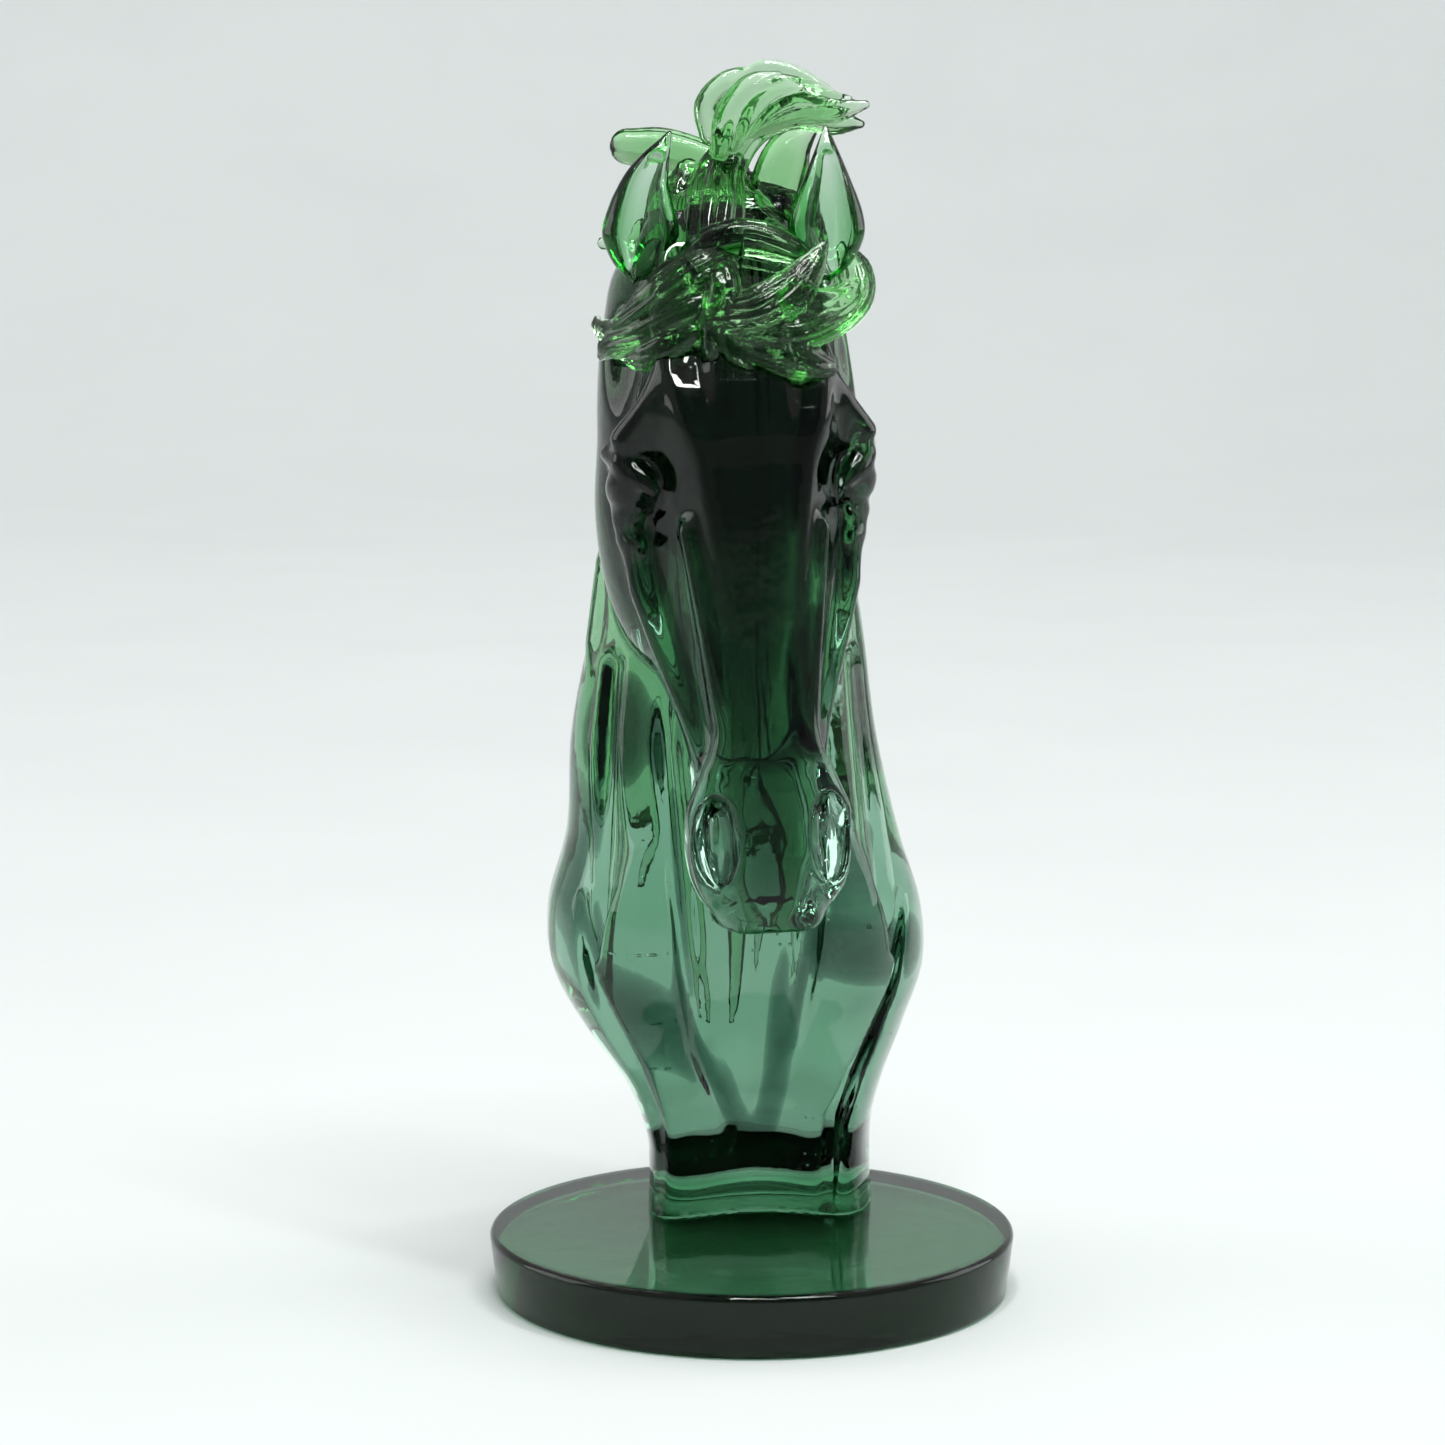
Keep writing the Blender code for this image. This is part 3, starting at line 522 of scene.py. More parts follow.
@dataclass(frozen=True)
class CastResin:
    """Clear casting resin tinted green all through, poured in a silicone mould and left glossy.

    The tint darkens with thickness, so thin tips are bright and the thick core is nearly black. The mould
    was taken from a printed master, so faces that look up carry its fine steps, which draw contour lines
    in the highlights; 0.25 mm steps are drawn 0.5 mm high so that they show. A slow swell a few
    millimetres long bends the reflections as hand-polished resin does.
    """

    name: str
    tint: str  # colour that survives, as sRGB hex
    strength: float  # how much of the other colours a metre takes out
    roughness: float = 0.03
    swell: float = 0.00006  # height of the slow unevenness, in metres
    steps: float = 0.5  # strength of the printed steps
    ior: float = 1.5  # of polyester and epoxy castings
    step_height: float = 0.0005  # height of a printed step as drawn, in metres

    def material(self) -> bpy.types.Material:
        """Builds the resin's nodes."""
        material, tree = blank(self.name)
        place = {"Vector": node(tree, "ShaderNodeTexCoord").outputs["Object"]}
        slow_noise = {"Scale": 140.0, "Detail": 2.0, "Roughness": 0.45}
        swell = node(tree, "ShaderNodeTexNoise", slow_noise, place)
        fine_noise = {"Scale": 900.0, "Detail": 1.0, "Roughness": 0.5}
        grain = node(tree, "ShaderNodeTexNoise", fine_noise, place)
        # a saw wave of scale 0.314 has one tooth a metre
        teeth = {"Scale": 0.314 / self.step_height, "Distortion": 1.2, "Detail": 1.0, "Detail Scale": 0.4}
        waves = node(tree, "ShaderNodeTexWave", teeth, place, bands_direction="Z", wave_profile="SAW")
        facing = node(tree, "ShaderNodeNewGeometry").outputs["Normal"]
        upward = node(tree, "ShaderNodeSeparateXYZ", links={0: facing}).outputs["Z"]
        stepped = node(
            tree,
            "ShaderNodeMapRange",
            {"From Min": 0.25, "From Max": 0.6, "To Min": 0.0, "To Max": self.steps},
            {"Value": upward},
            interpolation_type="SMOOTHSTEP",
        )
        # layers of relief, each laid over the one before: its height, its strength and what drives it
        layers = (
            (self.swell, {"Strength": 1.0}, {"Height": swell.outputs["Fac"]}),
            (0.000012, {"Strength": 0.35}, {"Height": grain.outputs["Fac"]}),
            (0.00008, {}, {"Height": waves.outputs["Fac"], "Strength": stepped.outputs["Result"]}),
        )
        normal = {}
        for height, strength, drives in layers:
            bump = node(tree, "ShaderNodeBump", {**strength, "Distance": height}, {**drives, **normal})
            normal = {"Normal": bump.outputs["Normal"]}
        look = {**CLEAR, "Roughness": self.roughness, "IOR": self.ior}
        output(tree, node(tree, "ShaderNodeBsdfPrincipled", look, normal), self.tint, self.strength)
        return material


@dataclass(frozen=True)
class TrappedAir:
    """Air bubbles shut in the resin: light entering one goes from dense to thin, so its index is inverted."""

    name: str = "trapped_air_bubble"
    ior: float = 1 / 1.5

    def material(self) -> bpy.types.Material:
        """Builds the bubble's nodes: a clear, perfectly smooth wall."""
        material, tree = blank(self.name)
        output(tree, node(tree, "ShaderNodeBsdfPrincipled", {**CLEAR, "Roughness": 0.0, "IOR": self.ior}))
        return material


@dataclass(frozen=True)
class PigmentAndPaintedShade:
    """A darker green inside the clear casting, with no wall of its own: pigment that gathered in the resin,
    and painted shade where the chest's grooves and refraction throw darker zones.
    """

    name: str
    tint: str
    strength: float

    def material(self) -> bpy.types.Material:
        """Builds the nodes of the pigment and of the painted shade alike: a surface that bends nothing, round
        a plain absorbing volume.
        """
        material, tree = blank(self.name)
        wall = node(tree, "ShaderNodeBsdfPrincipled", {**CLEAR, "Roughness": 0.0, "IOR": 1.0})
        output(tree, wall, self.tint, self.strength)
        return material


@dataclass(frozen=True)
class MattSheet:
    """Matt seamless studio paper, or felt card: one grey with a faint mottle, and no shine."""

    name: str = "seamless_studio_paper"
    colour: str = "#DDE2E1"

    def material(self) -> bpy.types.Material:
        """Builds the sheet's nodes: the grey and one 6% darker, mixed by a soft noise."""
        material, tree = blank(self.name)
        place = node(tree, "ShaderNodeTexCoord").outputs["Object"]
        mottle = node(tree, "ShaderNodeTexNoise", {"Scale": 9.0, "Detail": 3.0}, {"Vector": place})
        shade = node(tree, "ShaderNodeMix", data_type="RGBA")
        shade.inputs["A"].default_value = linear(self.colour)
        shade.inputs["B"].default_value = tuple(0.94 * c for c in linear(self.colour)[:3]) + (1.0,)
        tree.links.new(mottle.outputs["Fac"], shade.inputs["Factor"])
        matt = {"Roughness": 0.9, "Specular IOR Level": 0.2}
        output(tree, node(tree, "ShaderNodeBsdfPrincipled", matt, {"Base Color": shade.outputs["Result"]}))
        return material


# The neck and head: a pale sea green that turns nearly black through the thick of the head
DEEP_RESIN = CastResin("deep_green_casting_resin", "#53B990", 34.0)
# The plinth was poured apart with more tint, so its edge is nearly black
PLINTH_RESIN = CastResin("plinth_green_casting_resin", "#27C083", 98.0, swell=0.00003)
# Ears: a yellower leaf green, bright in the thin channel and nearly black at the thick rims
LEAF_RESIN = CastResin("leaf_green_casting_resin", "#30D265", 270.0, swell=0.00003, steps=0.15)
# Hair: the same green with less tint, so that single strands stay bright
LOCK_RESIN = CastResin("pale_leaf_casting_resin", "#55DA46", 170.0, swell=0.00003, steps=0.15)
# Pigment: nearly black behind the face. Painted shade: a grey teal for the darker zones that grooves and
# refraction throw in the chest
CORE_PIGMENT = PigmentAndPaintedShade("settled_dark_pigment", "#2F5A4C", 75.0)
PAINTED_SHADE = PigmentAndPaintedShade("painted_teal_shade", "#4C7F7A", 160.0)
# The plinth's tint where it rose into the foot
FOOT_PIGMENT = PigmentAndPaintedShade("plinth_tint_in_foot", "#27C083", 70.0)


# ---------------------------------------------------------------------------- the pieces


def dressed(
    piece: bpy.types.Object, finish: CastResin | PigmentAndPaintedShade | TrappedAir, stands_for: str = ""
) -> bpy.types.Object:
    """Gives a piece its finish and its place in the frame.

    Args:
        piece: the new object.
        finish: what it is made of.
        stands_for: the CAD node that it replaces, if it replaces one.

    Returns:
        The same piece.
    """
    piece.data.materials.append(finish.material())
    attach(piece, "root")
    if stands_for:
        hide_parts(stands_for)
    return piece


def cloud(
    name: str, finish: PigmentAndPaintedShade, gathered: Field, skin: Field, depth: float, box: tuple[Row, Row]
) -> bpy.types.Object:
    """A dark cloud inside a casting: settled pigment, and in the chest painted shade.

    Args:
        name: the piece's name.
        finish: its absorbing volume.
        gathered: field of where it lies.
        skin: field of the casting round it.
        depth: how far it stays from the casting's surface.
        box: lowest and highest corner to look in.

    Returns:
        The cloud, as an object.
    """

    def solid(points: np.ndarray) -> np.ndarray:
        """The cloud, less a skin of clear resin."""
        return limited(gathered(points), points, lambda at: skin(at) + depth, 3.0, CLOUD_EDGE)

    return dressed(Mould(*box, CLOUD_STEP).cast(solid).object(name), finish)


@dataclass
class Plinth:
    """The round plinth: a disc turned from its half profile, bonded under the neck."""

    radius: float = 50.0
    height: float = 12.0
    draft: float = 1.2
    edge: float = 1.1
    sides: int = 192

    def profile(self) -> np.ndarray:
        """Half profile (radius, height) from the top's middle to the underside's, both rims rounded."""
        angle = np.radians(np.linspace(90, 0, 7))
        top = np.stack(
            [self.radius - self.edge * (1 - np.cos(angle)), self.height - self.edge * (1 - np.sin(angle))], 1
        )
        foot = self.radius - self.draft
        low = np.stack([foot - self.edge * (1 - np.cos(angle)), self.edge * (1 - np.sin(angle))], 1)[::-1]
        rings = np.linspace(2, self.radius - 3, 12)
        upper = np.stack([rings, np.full_like(rings, self.height)], 1)
        lower = np.stack([rings[::-1], np.zeros_like(rings)], 1)
        return np.concatenate([upper, top, low, lower])

    def build(self) -> bpy.types.Object:
        """Turns the profile: a point at radius r and angle a stands at (r cos a, r sin a, height)."""
        rows = self.profile()
        angle = np.linspace(0, 2 * math.pi, self.sides, endpoint=False)
        ring = np.stack([np.cos(angle), np.sin(angle)], 1)
        x, y = rows[:, :1] * ring[:, 0], rows[:, :1] * ring[:, 1]
        z = np.broadcast_to(rows[:, 1:], x.shape)
        points = np.concatenate([np.stack([x, y, z], -1).reshape(-1, 3), [(0, 0, self.height), (0, 0, 0)]])
        mesh = bpy.data.meshes.new("plinth")
        quads, caps = ring_faces(len(rows), self.sides), cap_faces(len(rows), self.sides)
        mesh.from_pydata(points * MM, [], quads.tolist() + caps.tolist())
        return dressed(shown(mesh), PLINTH_RESIN, "base_disc")


@dataclass
class Bust:
    """Head and neck, one casting."""

    poll: Row = (-4.0, 5.0, 198.0)  # the point between the ears, where the head's frame starts
    pivot: Row = (-6.0, 12.0)  # what the head turns about, seen from above
    turn: float = 5.0  # degrees that the head is turned to its left
    roll: float = 1.5  # degrees that it is tipped to one side
    lean: float = 15.4  # degrees between the face and the upright
    face: float = 129.0  # from the poll to the muzzle's end
    crown: float = 206.0  # top of the neck
    foot: float = 11.8  # its flat foot, just inside the plinth's top
    facet_lean: float = 0.25  # how fast the facet over each eye leans back
    facet_swell: float = 0.6  # how far its middle stands proud
    clear_skin: float = 1.8  # how far pigment and painted shade stay from the surface
    tinted: float = 18.4  # height up to which the plinth's tint rose
    step: float = 0.85
    low: Row = (-44, -52, 9)
    high: Row = (44, 60, 216)
    # Going up: height, middle, front, back, half width, squareness, depth and half width of the hollow
    # down the front, narrowing of the front, sideways shear
    neck_stations: tuple[Row, ...] = (
        (6, 1.2, 2.5, 31, 21.8, 6.5, 11, 12, 0.13, 0.14),
        (12, 1.2, 2.5, 31, 21.8, 6.5, 11, 12, 0.13, 0.14),
        (15.5, 1.2, 2.3, 31.5, 21.7, 6.4, 11, 12, 0.13, 0.135),
        (18, 1.2, 2.0, 34.5, 21.6, 6.3, 11, 12, 0.13, 0.13),
        (21, 1.2, 1.6, 39.5, 21.7, 6.2, 11, 12, 0.13, 0.12),
        (24.5, 1.2, 1, 45.3, 21.9, 6.0, 11, 12, 0.13, 0.11),
        (28, 1.0, 0, 49, 22.6, 5.8, 11, 12, 0.14, 0.10),
        (36, 0.6, -2.4, 50.3, 25.2, 5.3, 10, 11, 0.17, 0.08),
        (48, -0.9, -5.5, 49.5, 31.6, 4.8, 7.5, 10, 0.24, 0.05),
        (60, -1.3, -8, 48.5, 36.2, 4.2, 5, 9, 0.27, 0.02),
        (70, -1.3, -8, 48.5, 36.2, 3.6, 3, 8, 0.25, 0),
        (84, -1.6, -6, 49, 32.4, 3.0, 1.5, 8, 0.2, 0),
        (104, -3.3, -1, 47.5, 29.5, 2.7, 0, 8, 0.12, 0),
        (124, -2.6, 5, 45.5, 26.4, 2.4, 0, 8, 0.06, 0),
        (144, -2.4, 9, 42, 23.0, 2.3, 0, 8, 0, 0),
        (164, -2.6, 9, 36, 20.5, 2.3, 0, 8, 0, 0),
        (182, -3.4, 5, 29, 19.0, 2.3, 0, 8, 0, 0),
        (194, -3.6, 1, 21, 15.0, 2.3, 0, 8, 0, 0),
        (200, -3.6, 3, 15, 8.0, 2.3, 0, 8, 0, 0),
    )
    # Going down the face: s, front, back, half widths from the jaw edge to the nose bone
    head_stations: tuple[Row, ...] = (
        (-6, 4, 12, 8, 13, 13, 8),
        (0, 9, 20, 13, 19, 20, 12),
        (12, 14.5, 26, 15, 24, 25, 15),
        (24, 19, 30, 16, 27, 26, 15.5),
        (36, 20.5, 33, 16, 29, 25, 13.5),
        (46, 19, 34, 16, 31, 21.5, 10.5),
        (56, 17.5, 33, 15, 30, 19, 8.7),
        (70, 15.5, 27, 12, 27, 16, 6.9),
        (82, 14, 21, 9, 20, 13, 6.4),
        (94, 13, 17, 7.5, 15.5, 11.5, 6.4),
        (106, 12, 15, 8, 15, 13.5, 7.2),
        (116, 10.5, 14, 8, 13.5, 14, 7.5),
        (126, 8.2, 12, 7, 11, 11.5, 7.2),
        (134, 6, 9, 6, 9, 9, 7.0),
    )
    # One side of the head, the other being its mirror image, in the head's frame
    features: tuple[Mass | Ridge, ...] = (
        # brow ridge and the temple's hollow
        Ridge(((21.5, 9, 38, 3.2), (18, 12.5, 33, 2.4), (9, 13.5, 22, 1.4)), 4),
        Mass((23, 8, 22), (5.5, 7, 9), 5, True),
        # socket, ball, upper and lower lid, and the fold under them
        Mass((26.5, 4.5, 46), (5, 8, 7), 3, True),
        Mass((19.2, 3, 45.5), (6, 8, 5.6), 1),
        Ridge(((15.5, 11.4, 51.5, 0.5), (19.4, 10.6, 46.5, 1.4), (22.4, 8, 41.8, 2.2),
            (23.6, 3, 39.2, 2.1), (22.8, -3, 39.5, 0.9)), 1.8),
        Ridge(((16, 10.2, 52.5, 0.5), (19.9, 6, 52, 1.1), (22.2, 1, 50.8, 1.3),
            (22.6, -3.5, 46.5, 0.7)), 1.8),
        Ridge(((17, 9, 56, 0.4), (20, 4.5, 56.5, 0.9), (21.8, -1, 54.5, 0.6)), 2.4),
        # facial crest
        Ridge(((20.6, 0, 52, 2.2), (19.2, -0.5, 64, 2.4), (15.8, 0, 76, 2.2), (12.6, 1, 87, 1.8),
            (10.2, 2, 97, 1.2)), 4),
        # hollow beside the nose, and the narrow muscle that runs to the nostril
        Ridge(((21.5, 11, 53, 2.6), (19.2, 10.5, 64, 3.8), (16.8, 9, 78, 3.6), (15.2, 8, 90, 2.4)), 6,
            True),
        Ridge(((12.8, 13.2, 56, 0.8), (10.6, 12, 68, 1.6), (8.8, 11, 82, 1.6), (7.6, 10.4, 94, 1.2)),
            4),
        # cheek
        Mass((14, -15, 50), (10.4, 17, 25.5), 2.5),
        # nostril's wing and cavity
        Mass((10, 3, 112), (5.2, 8.5, 11.5), 2.5),
        Ridge(((6.5, 10, 92, 1.8), (8.3, 8.2, 100, 3.9), (10, 6, 107, 5)), 2),
        Mass((10.5, 10.5, 112.5), (4, 8, 8.3), 0.9, True),
        # mouth line, chin and the hollow behind it
        Ridge(((0, -3, 131, 1.3), (6, -4, 129.5, 1.1), (11, -5, 123, 1), (13.5, -6, 113, 0.8)), 1.2,
            True),
        Mass((0, -10, 119), (8, 6, 8), 3),
        Mass((0, -32, 84), (7, 10, 34), 6, True),
    )
    # The dark core, in the head's frame and then in the neck's
    face_core: tuple[Mass | Ridge, ...] = (
        Mass((0, -6, 29), (22.5, 21, 27), 6),
        Ridge(((0, 0, 30, 12), (0, 2, 60, 9), (0, 1, 95, 7), (0, 0, 118, 6)), 6),
    )
    neck_core: tuple[Ridge, ...] = (
        Ridge(((-3, 18, 192, 9), (-3, 26, 160, 12), (-3, 27, 128, 10), (-3, 26, 100, 4)), 4),
    )
    # Painted shade: thin dark streaks in the chest, down both sides of the windpipe, at the shoulders and
    # under the jaw, where grooves and refraction throw darker zones
    streaks: tuple[Mass | Ridge, ...] = (
        Ridge(((-34, 17, 76, 2.4), (-24, 14, 61, 4.4), (-16, 13, 51, 4.6), (-7.5, 15, 39, 4),
            (-1, 17, 27, 3)), 3),
        Ridge(((20, 15, 84, 3), (13.5, 13, 67, 4.4), (10, 12, 57, 4.2), (8.5, 13, 47, 4),
            (4, 17, 28, 3)), 3),
        Ridge(((-13, 14, 92, 2.4), (-14, 11, 74, 3.4), (-12, 10, 58, 1.8)), 3),
        Mass((-32, 17, 84), (6, 6, 17), 3),
        Mass((-30, 20, 45), (4, 6, 12), 3),
        Mass((23, 16, 63.5), (8, 6, 6), 3),
        Mass((27, 20, 40), (5, 6, 9), 3),
        Mass((-20, 22, 104), (5, 7, 12), 3),
        Mass((20, 22, 108), (4.5, 7, 14), 3),
    )
    # Painted shade of the same kind at both sides of the face, in the head's frame
    cheeks: tuple[Mass | Ridge, ...] = (
        Mass((17, -6, 48), (8, 11, 20), 3),
        Mass((10, 0, 84), (5, 9, 16), 3),
    )
    # One side of the neck and chest, mirrored about the windpipe's middle
    chest: tuple[Mass | Ridge, ...] = (
        # swelling of the breast, then the groove beside the windpipe, the one inside the shoulder's edge,
        # and the one between the neck's muscles
        Mass((18.5, 0, 70), (8, 8.5, 15), 5),
        Ridge(((16, 3, 128, 1.4), (14.5, 0, 104, 1.9), (12.5, -6.6, 80, 2.1), (10.9, -7.9, 64, 2.1),
            (8.6, -3.8, 48, 1.9), (4.5, 1.2, 38, 1.6), (1.5, 4.8, 31, 1.2)), 2.2, True),
        Ridge(((30.5, 5, 74, 0.8), (26.8, 1.6, 55, 1.8), (20.8, 1, 42, 2), (17.6, 3.2, 32, 1.8),
            (17, 5, 24, 1.2), (17, 6, 14, 0.3)), 2.5, True),
        Ridge(((23.5, 12.5, 118, 1.2), (25.5, 5.6, 92, 2.1), (26.5, -0.4, 78, 2), (27, 1, 66, 1)), 3.5,
            True),
    )
    lying_lock: tuple[Ridge, ...] = (
        Ridge(((-20.5, 26, 150, 2), (-24.2, 24, 137, 3.2), (-26.4, 21, 122, 3), (-26, 18, 110, 1.2)),
            3),
    )

    def in_head(self, points: np.ndarray) -> np.ndarray:
        """Points in the head's frame: turned about the pivot, rolled, and leant along the face."""
        x, y = points[..., 0] - self.pivot[0], points[..., 1] - self.pivot[1]
        z = points[..., 2] - self.poll[2]
        turn, roll, lean = (math.radians(a) for a in (self.turn, self.roll, self.lean))
        x, y = x * math.cos(turn) + y * math.sin(turn), y * math.cos(turn) - x * math.sin(turn)
        x, z = x * math.cos(roll) + z * math.sin(roll), z * math.cos(roll) - x * math.sin(roll)
        y = y + self.pivot[1] - self.poll[1]
        forward = -y * math.cos(lean) + z * math.sin(lean)
        down = -y * math.sin(lean) - z * math.cos(lean)
        return np.stack([x, forward, down], -1)

    def neck(self, points: np.ndarray) -> np.ndarray:
        """Superellipse sections stacked up the neck, hollowed down the front and sheared at the foot."""
        height = points[..., 2]
        middle, front, back, half, square, hollow, spread, narrow, shear = (
            station_value(self.neck_stations, column, height) for column in range(1, 10)
        )
        y = points[..., 1]
        x = points[..., 0] - middle - shear * np.clip(y - front, 0, 24)
        centre, depth = (front + back) / 2, (back - front) / 2
        ahead = np.clip((centre - y) / depth, 0, 1)
        y = y - hollow * np.exp(-((x / spread) ** 2)) * ahead
        across = np.abs(x) / (half * (1 - narrow * ahead**1.5))
        along = np.abs(y - centre) / depth
        size = (across**square + along**square + 1e-12) ** (1 / square)
        return common((size - 1) * np.minimum(half, depth) * 0.9, height - self.crown, 6)

    def head(self, points: np.ndarray) -> np.ndarray:
        """Sections down the face, each a cubic blend from jaw to nose bone with a flat front."""
        x, forward, down = np.moveaxis(self.in_head(points), -1, 0)
        x = np.abs(x)
        front, back, jaw, cheek, side, nose = (
            station_value(self.head_stations, column, down) for column in range(1, 7)
        )
        # over each eye a facet, 6.5 to 23 mm from the middle line and 13 to 40 mm down, leans back and swells
        # in its middle; it fades out over 2.5 mm at its sides, 8 mm at its top and 3 mm at its foot
        facet = np.clip((x - 6.5) / 2.5, 0, 1) * np.clip((23 - x) / 2.5, 0, 1)
        facet = facet * np.clip((down - 13) / 8, 0, 1) * np.clip((40 - down) / 3, 0, 1)
        swell = self.facet_swell * np.clip(1 - ((x - 14.5) / 8) ** 2 - ((down - 29) / 9) ** 2, -1, 1)
        front = front - facet * (self.facet_lean * np.clip(38 - down, 0, 20) - swell)
        rise = np.clip((forward + back) / (front + back), 0, 1)
        fall = 1 - rise
        half = jaw * fall**3 + 3 * cheek * fall**2 * rise + 3 * side * fall * rise**2 + nose * rise**3
        out = common((x - half) * 0.88, forward - front, 1.4)
        out = common(out, -back - forward, 7.0)
        out = common(out, down - self.face - 0.25 * (forward - 6), 3.0)
        out = common(out, -12 - down, 10.0)
        return worked(out, np.stack([x, forward, down], -1), self.features)

    def solid(self, points: np.ndarray) -> np.ndarray:
        """Field of the whole bust, cut flat at the foot."""
        out = joined(self.neck(points), self.head(points), 4.0)
        beside = np.stack([np.abs(points[..., 0] + 1.5), points[..., 1], points[..., 2]], -1)
        out = worked(out, beside, self.chest)
        out = worked(out, points, self.lying_lock)
        return np.maximum(out, self.foot - points[..., 2])

    def core(self, points: np.ndarray) -> np.ndarray:
        """Field of the dark core down the face and the neck."""
        return joined(alone(self.in_head(points), self.face_core), alone(points, self.neck_core), 6.0)

    def painted_shade_field(self, points: np.ndarray) -> np.ndarray:
        """Field of the painted shade: thin dark streaks in the chest and patches beside the face."""
        in_head = self.in_head(points)
        in_head[:, 0] = np.abs(in_head[:, 0])
        return np.minimum(alone(points, self.streaks), alone(in_head, self.cheeks))

    def footing(self, points: np.ndarray) -> np.ndarray:
        """Field of the plinth's tint that rose into the foot: all that lies under its level."""
        return points[:, 2] - self.tinted

    def pigment(self) -> list[bpy.types.Object]:
        """Settles the pigment, the dark core and the tint in the foot, and the painted shade of dark streaks
        in the chest.
        """
        skin = self.clear_skin
        clouds = (
            ("pigment_in_core", CORE_PIGMENT, self.core, skin, ((-34, -42, 80), (32, 52, 208))),
            # the streaks are painted shade: dark volumes for the darker zones that grooves and refraction
            # throw in the chest
            ("painted_shade_streaks", PAINTED_SHADE, self.painted_shade_field, skin, ((-42, -40, 20), (38, 36, 178))),
            ("tint_in_foot", FOOT_PIGMENT, self.footing, 0.5, ((-28, -6, 10), (30, 40, 22))),
        )
        return [cloud(name, tint, where, self.solid, depth, box) for name, tint, where, depth, box in clouds]

    def build(self) -> bpy.types.Object:
        """Casts the bust and dresses it."""
        piece = Mould(self.low, self.high, self.step).cast(self.solid).object("horse_head_and_neck")
        return dressed(piece, DEEP_RESIN, "horse_bust")


@dataclass
class Lock:
    """A lock of hair or an ear: strands run together, shaped underneath to the bust that carries it."""

    name: str
    stands_for: str
    strands: tuple[Strand, ...]
    step: float = 0.45
    sunk: float = 0.25  # how far it lies inside the bust, so that the two read as one clear body
    core: tuple[int, ...] = ()  # which of the strands hold dark pigment
    finish: CastResin = LOCK_RESIN

    def build(self, bust: Bust) -> bpy.types.Object:
        """Casts the lock on the bust and dresses it."""
        poll = np.array(bust.poll)
        boxes = [strand.box() for strand in self.strands if not strand.hollow]
        low = np.min([low for low, _ in boxes], 0) + poll
        high = np.max([high for _, high in boxes], 0) + poll

        def solid(points: np.ndarray) -> np.ndarray:
            """Strands together, less the bust shrunk by `sunk`."""
            strands = alone(points - poll, self.strands)
            return limited(strands, points, lambda at: -bust.solid(at) - self.sunk, 2.0, SEAT_EDGE)

        box = (tuple(low), tuple(high))
        if self.core:
            middle = [
                Strand(tuple((*row[:3], CORE_SHARE * row[3]) for row in self.strands[i].points), combs=0)
                for i in self.core
            ]
            name = f"pigment_in_{self.name}"
            cloud(name, CORE_PIGMENT, lambda at: alone(at - poll, middle), solid, CORE_SKIN, box)
        piece = Mould(*box, self.step).cast(solid).object(self.name)
        return dressed(piece, self.finish, self.stands_for)


EAR_LINES = {
    Side.LEFT: (
        (-17.3, -10.6, -6.5), (-17.1, -9.4, 0.0), (-16.8, -8.2, 5.0), (-15.6, -6.4, 12.1), (-11.4, -4.6, 20.6)
    ),
    Side.RIGHT: (
        (16.4, -13.2, -6.0), (16.8, -12.0, 0.5), (17.1, -11.0, 6.0), (17.3, -9.2, 12.6), (17.3, -7.0, 21.6)
    ),
}


def ear(side: Side) -> Lock:
    """A drop-shaped ear with a channel down its front.

    The body's radius rises from its rounded foot to a third of its length, then falls to the tip. The
    channel follows the same line in front of it and leaves a thin floor between two thick rims.

    Args:
        side: which ear.

    Returns:
        The ear, not yet built.
    """
    share = np.array([0.0, 0.06, 0.14, 0.26, 0.38, 0.5, 0.62, 0.74, 0.85, 0.94, 1.0])
    radii = np.array([1.4, 3.4, 5.2, 6.6, 7.1, 6.7, 5.7, 4.3, 2.8, 1.4, 0.5])
    rows = [(float(i) / (len(EAR_LINES[side]) - 1), *point) for i, point in enumerate(EAR_LINES[side])]
    line = np.stack([station_value(rows, column, share) for column in (1, 2, 3)], 1)
    body = tuple((*point, radius) for point, radius in zip(line, radii))
    front = line + np.outer(0.45 * radii, (0.04 * side.value, -1.0, 0.1))
    channel = tuple((*point, 0.58 * radius) for point, radius in zip(front[2:-2], radii[2:-2]))
    return Lock(
        f"ear_{side.name.lower()}_leaf",
        f"ear_{side.name.lower()}",
        (
            Strand(body, flat=0.7, combs=0, outward=(0, -1, 0.1)),
            Strand(channel, flat=1.3, combs=0, blend=1.2, hollow=True, outward=(0, -1, 0.1)),
        ),
        step=0.4,
        finish=LEAF_RESIN,
    )


FORELOCK_LEFT = (
    Strand(((-1.6, -16.6, -3.4, 2.6), (-6, -19.2, -4.4, 3.8), (-11.4, -19.7, -7.9, 4),
        (-16.8, -17.2, -12.3, 3.6), (-21.4, -11.8, -15.5, 2.8), (-24.5, -7.5, -14.5, 1.6),
        (-24.9, -5.5, -13.1, 0.6)), combs=11, depth=0.17),
    Strand(((-6, -21.2, -10.1, 2.8), (-11.5, -21.2, -12.6, 3.4), (-17.7, -17.2, -16, 3.2),
        (-22.5, -11.7, -18, 2.6), (-24.2, -8.6, -20, 1)), combs=10, depth=0.17),
    Strand(((-9.1, -22.9, -15.6, 2.4), (-13.5, -21.5, -18, 3), (-17.8, -17.2, -20, 2.4),
        (-21.1, -12.8, -18.7, 1)), combs=8),
    Strand(((-6.6, -15.1, -1.9, 2.4), (-11.8, -16.7, -5.1, 2.8), (-16.2, -16.3, -8.8, 2.4),
        (-19.3, -13, -11.8, 1.2)), combs=8),
)
